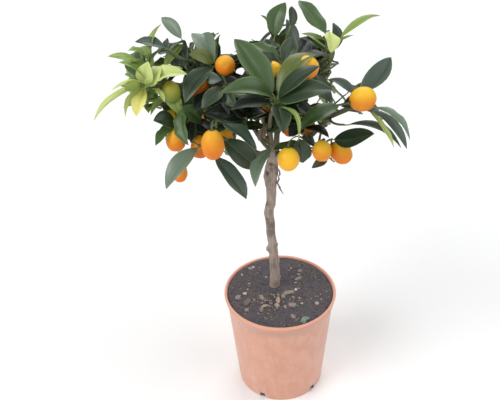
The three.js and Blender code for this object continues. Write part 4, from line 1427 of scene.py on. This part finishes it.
class KUMQUAT_OT_pot(bpy.types.Operator):
    """Make the nursery pot with its rolled rim and drainage notches"""

    bl_idname = "kumquat.pot"
    bl_label = "Pot"

    NOTCHES = 5
    NOTCH = (3.0, 4.25, 10.0)  # half the size of the box that cuts a notch
    FIRST_NOTCH = -118  # its turn round the pot

    def execute(self, context):
        sizes = context.scene.kumquat.pot
        height, band, rim, foot, top, wall, bead = (
            getattr(sizes, key) / MM
            for key in ("height", "rim_band", "rim_radius", "foot_radius", "top_radius", "wall", "bead")
        )
        band_foot = height - band

        def body(z):
            return foot + (top - foot) * z / band_foot

        profile = [(0, 0.0), (body(0) - 8, 0.0), (body(0) - 0.9, 0.0), (body(0.8), 0.8)]
        profile += [(body(z), z) for z in (2.2, 8, 30, 60, 90, 120, 150, band_foot - 0.6)]
        profile += [
            (body(band_foot) + 0.9, band_foot + 0.2), (rim - 2.7, band_foot + 0.8),
            (rim - 2.2, height - 9.4), (rim - 1.5, height - 8.8), (rim - 1.4, height - 7.4),
            (rim - 2.0, height - 6.6), (rim - 1.9, height - 5.4),
        ]
        for degrees in range(-60, 181, 20):
            angle = math.radians(degrees)
            profile.append((rim - bead + bead * math.cos(angle), height - bead + bead * math.sin(angle)))
        profile += [(rim - 2 * bead - 0.2, height - 5), (body(band_foot - 6) - wall, band_foot - 6)]
        profile += [(body(z) - wall, z) for z in (120, 60, 6)]
        profile += [(body(3) - wall - 1.5, 3.0), (0, 3.0)]
        shape = Shape()
        shape.add(*turned(profile, 160))
        pot = shape.build("nursery_pot", [pot_finish(sizes)])
        self.cut_notches(pot, foot)
        seat(pot, "pot", "pot")
        return {"FINISHED"}

    def cut_notches(self, pot, foot):
        """Cuts the notches through the foot of the wall, as in the solid, and paints their cut faces near
        black as painted shade.
        """
        shape = Shape()
        box = np.array([(x, y, z) for x in (-1, 1) for y in (-1, 1) for z in (-1, 1)], float)
        sides = [(0, 1, 3, 2), (4, 6, 7, 5), (0, 4, 5, 1), (2, 3, 7, 6), (0, 2, 6, 4), (1, 5, 7, 3)]
        for k in range(self.NOTCHES):
            angle = math.radians(self.FIRST_NOTCH + 360 / self.NOTCHES * k)
            turn = np.array(Matrix.Rotation(angle, 3, "Z"))
            points = box * self.NOTCH + (foot, 0, 0)
            shape.add(points @ turn.T, sides)
        # Painted shade: the cut faces take this near-black colour for the shade inside the notches.
        dark = new_finish("notch_shade", (0.03, 0.02, 0.018), 0.9)[0]
        cutter = shape.build("notch_cutter", [dark], sharp=(0,))
        cut = pot.modifiers.new("notches", "BOOLEAN")
        cut.object, cut.operation = cutter, "DIFFERENCE"
        cut.solver, cut.material_mode = "EXACT", "TRANSFER"
        apply_modifiers(pot)
        bpy.data.objects.remove(cutter)


def apply_modifiers(thing):
    """Turns an object's modifiers into its mesh."""
    bpy.context.view_layer.update()
    state = bpy.context.evaluated_depsgraph_get()
    mesh = bpy.data.meshes.new_from_object(thing.evaluated_get(state))
    thing.modifiers.clear()
    old = thing.data
    thing.data = mesh
    bpy.data.meshes.remove(old)


class KUMQUAT_OT_soil(bpy.types.Operator):
    """Make the soil with its crumbs, bark chips, white grains and fibres"""

    bl_idname = "kumquat.soil"
    bl_label = "Soil"

    # Where small pieces lie: the middle and the reach of the patch.
    ALL_OVER = ((0, 0), (82.5, 82.5))
    IN_FRONT = ((-2, -24), (46, 20))

    # The finishes by number, those that chips are dealt, and those with sharp edges.
    COMPOST, CHIP, GRAIN, SPLIT, FIBRE, SCRAP, DARK, PALE = range(8)
    CHIP_TONES = (CHIP, CHIP, DARK, DARK, PALE)
    SHARP = (CHIP, GRAIN, SPLIT, DARK, PALE)

    # How blocky, uneven and tilted a chip is, and the share of its height that it is raised by.
    BLOCKY, UNEVEN, TILT, RAISED = 0.7, 0.7, 0.35, 0.15

    # A fibre's radius, the reach of its start and of its end, its most points, the step between them,
    # their height over the soil, and its bend.
    THREAD = dict(
        radius=0.16, reach=78, limit=82, points=9, step=(1.4, 3.0), lift=(0.6, 1.6), bend=0.35
    )

    # Larger pieces on the soil: place, length, width, height, turn and the number of the finish.
    CHIPS = [
        ((14, -5), 18, 12, 4, 20, 1), ((-30, -15), 9, 13, 4, 10, 1), ((-54, -24), 16, 13, 4, 60, 6),
        ((-4, -24), 8, 14, 5, 5, 3), ((-7, -35), 9, 8, 5, -30, 3), ((-26, -34), 11, 5, 3, 20, 3),
        ((18, -34), 12, 10, 4, -15, 1), ((17, -59), 9, 13, 4, 8, 1), ((-54, -42), 8, 8, 5, 0, 1),
        ((-57, -3), 7, 6, 4, 15, 2), ((36, 46), 10, 7, 4, 35, 1), ((-47, 57), 8, 6, 3, -20, 1),
        ((26, 2), 5, 4, 3, 25, 2), ((-42, 60), 5, 4, 3, 0, 2), ((-6, 50), 4, 3, 2, 0, 7),
        ((-21, 33), 6, 5, 3, 0, 1), ((-68, -12), 12, 9, 4, 40, 1), ((32, 28), 13, 8, 3, 30, 1),
        ((4, -14), 10, 7, 4, 70, 1), ((6, -38), 9, 5, 3, 100, 1),
    ]

    def execute(self, context):
        sizes = context.scene.kumquat.soil
        crumbs = {
            "bark_chip": sizes.chip, "white_grain": sizes.grain, "split_wood": (0.42, 0.31, 0.235),
            "dry_fibre": sizes.fibre, "fallen_leaf": (0.2, 0.26, 0.21),
            "dark_chip": shaded(sizes.chip, 0.6), "pale_chip": shaded(sizes.chip, 1.6),
        }
        finishes = [soil_finish(sizes)]
        finishes += [grained_finish(name, colour, **CRUMB) for name, colour in crumbs.items()]
        shape = Shape()
        self.add_plug(shape, context.scene.kumquat.pot)
        rule = np.random.default_rng(11)
        for spot, length, width, height, turn, finish in self.CHIPS:
            self.add_chip(shape, spot, (length, width, height), turn, finish, rule)
        for finish, count, small, large, (middle, reach) in (
            (self.COMPOST, sizes.crumbs, 1.2, 3.6, self.ALL_OVER),
            (self.CHIP, sizes.chips, 1.6, 6.5, self.ALL_OVER),
            (self.GRAIN, sizes.grit, 0.9, 2.6, self.ALL_OVER),
            (self.CHIP, sizes.litter, 1.4, 5.5, self.IN_FRONT),
            (self.COMPOST, sizes.litter, 2.0, 5.0, self.IN_FRONT),
        ):
            for _ in range(count):
                radius = math.sqrt(rule.random())
                angle = 2 * math.pi * rule.random()
                spot = (
                    middle[0] + reach[0] * radius * math.cos(angle),
                    middle[1] + reach[1] * radius * math.sin(angle),
                )
                size = small + (large - small) * rule.random() ** 2.5
                width = size * rule.uniform(0.5, 1)
                height = size * rule.uniform(0.35, 0.7)
                tone = rule.choice(self.CHIP_TONES) if finish == self.CHIP else finish
                self.add_chip(shape, spot, (size, width, height), rule.uniform(0, 360), tone, rule)
        for _ in range(sizes.fibres):
            self.add_fibre(shape, rule)
        self.add_fallen_leaf(shape)
        seat(shape.build("potting_soil", finishes, self.SHARP), "soil", "soil")
        return {"FINISHED"}

    @staticmethod
    def height(x, y):
        """The height of the soil's uneven top."""
        spot = Vector((x, y, 0))
        waves = sum(noise.noise(spot / length) * height for length, height in SOIL_WAVES)
        a, b = MOUND["place"]
        mound = MOUND["height"] * math.exp(-(((x - a) ** 2 + (y - b) ** 2) / MOUND["spread"]))
        fall = max(0.0, (math.hypot(x, y) - RIM_FALL["start"]) / RIM_FALL["width"])
        rise = max(0.0, y / BACK_RISE["reach"])
        return SOIL_TOP + waves + mound - RIM_FALL["depth"] * fall + BACK_RISE["height"] * rise

    def add_plug(self, shape, pot):
        """The body of the soil, with an uneven top."""
        foot, top, wall = pot.foot_radius / MM, pot.top_radius / MM, pot.wall / MM
        slope = (top - foot) / ((pot.height - pot.rim_band) / MM)
        profile = [(0, SOIL_FOOT)]
        for z in (SOIL_FOOT, 40, 80, 120, 150, 160, 168):
            profile.append((min(foot + slope * z - wall - SOIL_GAP, SOIL_RADIUS), z))
        sides, rings = 240, np.linspace(SOIL_RADIUS, 1, 92)
        profile += [(r, SOIL_TOP) for r in rings] + [(0, self.height(0, 0))]
        points, faces = turned(profile, sides)
        for point in points[-2 - len(rings) * sides:-2]:
            point[2] = self.height(point[0], point[1])
        shape.add(points, faces)

    def add_chip(self, shape, spot, size, turn, finish, rule):
        """A rough lump, flattened and half sunk in the soil."""
        points, faces = closed_ball(4, 6)
        points = np.sign(points) * np.abs(points) ** self.BLOCKY
        points = points * (1 + self.UNEVEN * (rule.random(points.shape) - 0.5)) * (np.array(size) / 2)
        tilt = Matrix.Rotation(rule.uniform(-self.TILT, self.TILT), 3, "X")
        pose = np.array(Matrix.Rotation(math.radians(turn), 3, "Z") @ tilt)
        z = self.height(*spot) + size[2] * self.RAISED
        shape.add(points @ pose.T + (*spot, z), faces, finish)

    def add_fibre(self, shape, rule):
        """A dry fibre that bends over the soil."""
        kind = self.THREAD
        radius, angle = kind["reach"] * math.sqrt(rule.random()), 2 * math.pi * rule.random()
        x, y, turn = radius * math.cos(angle), radius * math.sin(angle), rule.uniform(0, 2 * math.pi)
        bend, line = rule.uniform(-kind["bend"], kind["bend"]), []
        for _ in range(kind["points"]):
            line.append(Vector((x, y, self.height(x, y) + rule.uniform(*kind["lift"]))))
            step = rule.uniform(*kind["step"])
            x, y, turn = x + step * math.cos(turn), y + step * math.sin(turn), turn + bend
            if math.hypot(x, y) > kind["limit"]:
                break
        if len(line) > 3:
            shape.add(*closed_tube(line, [kind["radius"]] * len(line), 4), self.FIBRE)

    def add_fallen_leaf(self, shape):
        """Two scraps of a fallen leaf near the front of the rim."""
        for spot, turn, length in (((26, -75), 25, 18), ((36, -70), -120, 11)):
            x, y = spot
            foot = Vector((x, y, self.height(x, y) + 1.5))
            run = heading(turn, 12).normalized()
            face = (UP - run * UP.dot(run)).normalized()
            leaf = dict(foot=foot, run=run, face=face, length=length, breadth=0.5, arch=0.1, seed=3)
            shape.add(even_blade(leaf, 10, 7), grid_faces(10, 7), self.SCRAP)


class KUMQUAT_OT_trunk(bpy.types.Operator):
    """Make the trunk and boughs with the relief of their bark"""

    bl_idname = "kumquat.trunk"
    bl_label = "Trunk and boughs"

    SUNK = 4  # how far the trunk goes down into the soil
    COLLAR = (1.25, 1.1)  # how much thicker a bough's first two rings are

    def execute(self, context):
        sizes = context.scene.kumquat.wood
        shape = Shape()
        rings = 70
        line = [trunk_point(k / rings) for k in range(rings + 1)]
        radii = [trunk_at(k / rings, 3) for k in range(rings + 1)]
        line.insert(0, line[0] - UP * self.SUNK)
        radii.insert(0, radii[0])
        shape.add(*closed_tube(line, radii, 28))
        for bow, (root, tip) in crown().boughs.values():
            count = 14
            radii = [mix(root, tip, k / count) for k in range(count + 1)]
            radii[:2] = [radius * more for radius, more in zip(radii, self.COLLAR)]
            shape.add(*closed_tube(bow.line(count), radii, 12))
        skin = bark_finish(sizes)
        limbs = shape.build("trunk_and_boughs", [skin])
        melt = limbs.modifiers.new("one_skin", "REMESH")
        melt.mode, melt.voxel_size, melt.use_smooth_shade = "VOXEL", sizes.skin, True
        soften = limbs.modifiers.new("soften", "SMOOTH")
        soften.factor, soften.iterations = 0.5, 3
        apply_modifiers(limbs)
        self.carve(limbs.data, sizes.relief / MM)
        limbs.data.materials.clear()
        limbs.data.materials.append(skin)
        seat(limbs, "bark", "trunk", *BOUGHS)
        return {"FINISHED"}

    @staticmethod
    def carve(mesh, depth):
        """Moves the bark in and out: broad waves, long cracks, fine grain, knots and swellings."""
        count = len(mesh.vertices)
        places, outs = np.empty(count * 3), np.empty(count * 3)
        mesh.vertices.foreach_get("co", places)
        mesh.vertex_normals.foreach_get("vector", outs)
        places, outs = places.reshape(-1, 3) / MM, outs.reshape(-1, 3)
        moves = np.array([
            depth * sum(share * noise.noise(Vector(place / size)) for size, share in BARK_WAVES)
            for place in places
        ])
        slim = np.clip((places[:, 2] - SLIM_WOOD["start"]) / SLIM_WOOD["width"], 0, 1)
        moves *= 1 - SLIM_WOOD["loss"] * slim
        for place, reach, height in KNOTS:
            away = np.linalg.norm(places - np.array(place), axis=1)
            moves += height * np.exp(-((away / reach) ** 2))
        places = (places + outs * moves[:, None]) * MM
        mesh.vertices.foreach_set("co", places.ravel())
        mesh.update()


class KUMQUAT_OT_twigs(bpy.types.Operator):
    """Make the twigs, shoots and leaf stalks"""

    bl_idname = "kumquat.twigs"
    bl_label = "Twigs"

    OLD, GREEN, STALK, DRY = range(4)  # the finishes by number

    def execute(self, context):
        sizes = context.scene.kumquat.wood
        shape = Shape()
        for number, twig in enumerate(crown().twigs):
            steps = max(4, round(twig["bow"].length / 7))
            root, tip = twig["radii"]
            line = twig["bow"].line(steps)
            radii = [
                mix(root, tip, k / steps) * (1 + 0.16 * chance(number, k, 3) - 0.08)
                for k in range(steps + 1)
            ]
            shape.add(*closed_tube(line, radii, 7), self.GREEN if twig["green"] else self.OLD)
        for leaf in crown().leaves:
            self.add_stalk(shape, leaf)
        line, radii = DRY_TWIG
        shape.add(*closed_tube([Vector(spot) for spot in line], radii, 7), self.DRY)
        colours = {
            "old_twig": sizes.twig, "green_shoot": sizes.shoot,
            "leaf_stalk": shaded(sizes.shoot, 1.5), "dry_twig": sizes.dead,
        }
        finishes = [grained_finish(name, colour, **TWIG_BARK) for name, colour in colours.items()]
        seat(shape.build("twigs", finishes), "bark", *FOLIAGE)
        return {"FINISHED"}

    def add_stalk(self, shape, leaf):
        """The short stalk that holds a leaf's blade."""
        length = leaf["length"]
        line = []
        for share in np.linspace(0, LEAF_STALK + 0.03, 4):
            rise = 4 * leaf["arch"] * length * share * (1 - share)
            line.append(leaf["foot"] + leaf["run"] * (share * length) + leaf["face"] * (rise - 0.5))
        shape.add(*closed_tube(line, [0.95, 0.8, 0.75, 0.5], 5), self.STALK)


class KUMQUAT_OT_leaves(bpy.types.Operator):
    """Make the leaves, joined by the tint of their sprays"""

    bl_idname = "kumquat.leaves"
    bl_label = "Leaves"

    TINTS = ("deep", "shade", "dusk", "pale", "green", "olive", "fresh", "dry", "young", "lemon")
    YOUNG = ("young", "lemon")
    FACE, UNDERSIDE, EDGE, RIB = range(4)  # the finishes by number

    def execute(self, context):
        sizes = context.scene.kumquat.leaves
        thickness = sizes.thickness / MM
        rows = sizes.stations
        stations = 0.5 - 0.5 * np.cos(np.pi * np.linspace(0, 1, rows))
        columns = np.array(BLADE_COLUMNS)
        faces = grid_faces(rows, len(columns))
        strips = len(columns) - 1
        strip = np.tile(np.arange(strips), rows - 1)
        top_finish = np.where(strip == strips // 2, self.RIB, self.FACE)
        # The outer strips take the edge colour: painted back-lit sheen along the margins.
        top_finish[np.isin(strip, (0, strips - 1))] = self.EDGE
        rib = 0.5 * np.exp(-((columns / 0.1) ** 2))
        lift = -np.where(np.abs(columns) == 1, 0.0, thickness + rib)[None, :]
        for tint in self.TINTS:
            shape = Shape()
            for leaf in crown().leaves:
                if leaf["tint"] == tint:
                    shape.add(blade(leaf, stations, columns), faces, top_finish)
                    under = blade(leaf, stations, columns, lift)
                    shape.add(under, faces[:, [0, 3, 2, 1]], self.UNDERSIDE)
            if shape.count:
                young = tint in self.YOUNG
                piece = shape.build(f"leaves_{tint}", self.finishes(sizes, tint, young))
                slot = "young_leaves" if young else "leaves"
                seat(piece, slot, *FOLIAGE)
        return {"FINISHED"}

    @staticmethod
    def finishes(sizes, tint, young):
        """A tint's face, underside, edge with its painted back-lit sheen, and midrib."""
        colour = getattr(sizes, tint)
        under = between(sizes.under, colour, 0.75 if young else 0.25)
        return [
            leaf_finish(f"{tint}_leaf_face", colour, 0.42, 0.12),
            leaf_finish(f"{tint}_leaf_underside", under, 0.6),
            leaf_finish(f"{tint}_leaf_edge", between(sizes.edge, colour, 0.55), 0.45),
            leaf_finish(f"{tint}_leaf_rib", between(sizes.edge, colour, 0.8), 0.5),
        ]


class KUMQUAT_OT_fruit(bpy.types.Operator):
    """Make the fruit with their calyxes and stalks"""

    bl_idname = "kumquat.fruit"
    bl_label = "Fruit"

    COLOURS = ("ripe", "amber", "golden", "deep", "turning", "unripe")
    STALK = len(COLOURS)  # the number of the finish that comes after those of the peels

    # How much fuller a fruit is toward its far end, how deep and wide the dents at its ends are, how
    # uneven it is, and how much of its own colour gives way to the painted highlight of its upper side.
    FULLER, DENT, DENT_WIDTH, UNEVEN = 0.03, 0.07, 0.2, 0.025
    SUN = {"unripe": 0.1, "turning": 0.2, "ripe": 0.6, "amber": 0.85, "golden": 0.85, "deep": 0.45}

    def execute(self, context):
        colours = context.scene.kumquat.fruit
        shape = Shape()
        for number, fruit in enumerate(crown().fruit):
            self.add_fruit(shape, fruit, number)
        finishes = []
        for name in self.COLOURS:
            colour = getattr(colours, name)
            # The painted highlight colour of this fruit's upper side.
            sunny = between(colour, colours.sunny, self.SUN[name])
            finishes.append(peel_finish(f"{name}_peel", colour, sunny))
        finishes.append(grained_finish("fruit_stalk", colours.stalk, **TWIG_BARK))
        seat(shape.build("kumquats", finishes), "fruit", *FOLIAGE)
        return {"FINISHED"}

    def add_fruit(self, shape, fruit, number):
        """A fruit with its calyx and its stalk."""
        points, faces = closed_ball(25, 28)
        lat = points[:, 2]
        width = 1 + self.FULLER * lat
        points = points * np.stack([width, width, np.ones_like(width)], -1)
        flat = np.hypot(points[:, 0], points[:, 1])
        points[:, 2] -= np.sign(lat) * self.DENT * np.exp(-((flat / self.DENT_WIDTH) ** 2))
        wave = np.array([noise.noise(Vector(p) * 1.3 + Vector((number * 3.1, 0, 0))) for p in points])
        points = points * (1 + self.UNEVEN * wave[:, None])
        shape.add(fruit_points(points, fruit), faces, self.COLOURS.index(fruit["colour"]))
        self.add_calyx(shape, fruit)
        crown_spot = fruit["centre"] - fruit["way"] * (fruit["length"] / 2 - 1)
        middle = crown_spot - fruit["way"] * ((fruit["start"] - crown_spot).length * 0.4)
        stalk = Bow(fruit["start"], middle, crown_spot)
        radii = [0.9, 0.85, 0.8, 0.8, 0.85, 0.95, 1.2, 1.6]
        shape.add(*closed_tube(stalk.line(7), radii, 6), self.STALK)

    def add_calyx(self, shape, fruit):
        """The small five-pointed star that holds the fruit."""
        sides = 20
        angles = angles_round(sides)
        star = 1 + 0.28 * np.cos(5 * angles)
        rings = [
            np.stack([reach * star * np.cos(angles), reach * star * np.sin(angles), 0 * angles + z], -1)
            for reach, z in ((1.4, -1.1), (3.3, -0.5), (3.1, 0.1), (1.6, -0.2))
        ]
        skin = np.concatenate(rings), skin_faces(len(rings), sides)
        points, faces = closed(skin, sides, (0, 0, -1.2), (0, 0, -0.3))
        points[:, 2] -= fruit["length"] / 2 - 1.6
        shape.add(set_along(points, fruit["way"], fruit["centre"]), faces, self.STALK)


class KUMQUAT_OT_stage(bpy.types.Operator):
    """Set the floor, the lamps and the camera"""

    bl_idname = "kumquat.stage"
    bl_label = "Stage"

    # Each lamp's aim (turn to the right of the front, fall from overhead) and softness, in degrees.
    LAMPS = (
        ("key", (-62, 48), 35), ("front", (-14, 72), 70), ("side", (75, 50), 60), ("back", (170, 46), 40),
    )

    def execute(self, context):
        sizes = context.scene.kumquat.stage
        shape = Shape()
        across = np.linspace(-6000, 6000, 9)
        points = np.array([(x, y, 0.0) for x in across for y in across])
        shape.add(points, grid_faces(9, 9))
        paint = new_finish("pale_floor", sizes.floor, 0.9, Specular_IOR_Level=0.2)[0]
        shape.build("floor", [paint])

        self.add_sky(context, sizes)
        for name, aim, softness in self.LAMPS:
            self.add_lamp(f"{name}_lamp", aim, softness, getattr(sizes, name))

        camera = bpy.data.cameras.new("camera")
        camera.lens, camera.clip_end = sizes.lens, 50
        camera.sensor_width, camera.sensor_fit = SENSOR, "HORIZONTAL"
        viewer = add_object("camera", camera)
        viewer.matrix_world = Matrix.Translation(EYE * MM) @ eye_turn().to_4x4()
        context.scene.camera = viewer
        context.scene.view_settings.view_transform = "Standard"
        return {"FINISHED"}

    @staticmethod
    def add_sky(context, sizes):
        """A sky that is bright overhead and at the horizon, and dimmer between them."""
        world = bpy.data.worlds.new("soft_sky")
        world.use_nodes = True
        tree = world.node_tree
        way = node(tree, "ShaderNodeTexCoord").outputs["Generated"]
        glow = ramp(tree, height_of(tree, way), [
            (0.0, (1, 1, 1)), (0.16, (0.8,) * 3), (0.3, (sizes.horizon,) * 3), (0.8, (0.96, 0.98, 1)),
        ])
        sky = fill_in(tree.nodes["Background"], Strength=sizes.sky)
        tree.links.new(glow, sky.inputs["Color"])
        context.scene.world = world

    @staticmethod
    def add_lamp(name, aim, softness, power):
        """A wide, even lamp."""
        light = bpy.data.lights.new(name, "SUN")
        light.angle = math.radians(softness)
        light.energy = power
        lamp = add_object(name, light)
        turn, fall = aim
        lamp.rotation_euler = (math.radians(fall), 0, math.radians(turn))


class KUMQUAT_PT_tree(bpy.types.Panel):
    """Lists the pieces of the potted tree and their settings."""

    bl_label = "Potted kumquat tree"
    bl_idname = "KUMQUAT_PT_tree"
    bl_space_type = "VIEW_3D"
    bl_region_type = "UI"
    bl_category = "Kumquat"

    def draw(self, context):
        settings = context.scene.kumquat
        for operator in OPERATORS:
            self.layout.operator(operator.bl_idname)
        for name in KUMQUAT_PG_tree.__annotations__:
            group = getattr(settings, name)
            column = self.layout.column(heading=name.capitalize())
            for key in group.__annotations__:
                column.prop(group, key)


GROUPS = (
    KUMQUAT_PG_pot, KUMQUAT_PG_soil, KUMQUAT_PG_wood, KUMQUAT_PG_leaves, KUMQUAT_PG_fruit,
    KUMQUAT_PG_stage, KUMQUAT_PG_tree,
)
OPERATORS = (
    KUMQUAT_OT_stage, KUMQUAT_OT_pot, KUMQUAT_OT_soil, KUMQUAT_OT_trunk, KUMQUAT_OT_twigs,
    KUMQUAT_OT_leaves, KUMQUAT_OT_fruit,
)


def register():
    for group in (*GROUPS, *OPERATORS, KUMQUAT_PT_tree):
        bpy.utils.register_class(group)
    bpy.types.Scene.kumquat = PointerProperty(type=KUMQUAT_PG_tree)


def unregister():
    del bpy.types.Scene.kumquat
    for group in reversed((*GROUPS, *OPERATORS, KUMQUAT_PT_tree)):
        bpy.utils.unregister_class(group)


def main():
    register()
    for operator in OPERATORS:
        family, name = operator.bl_idname.split(".")
        getattr(getattr(bpy.ops, family), name)()


if __name__ == "__main__":
    main()
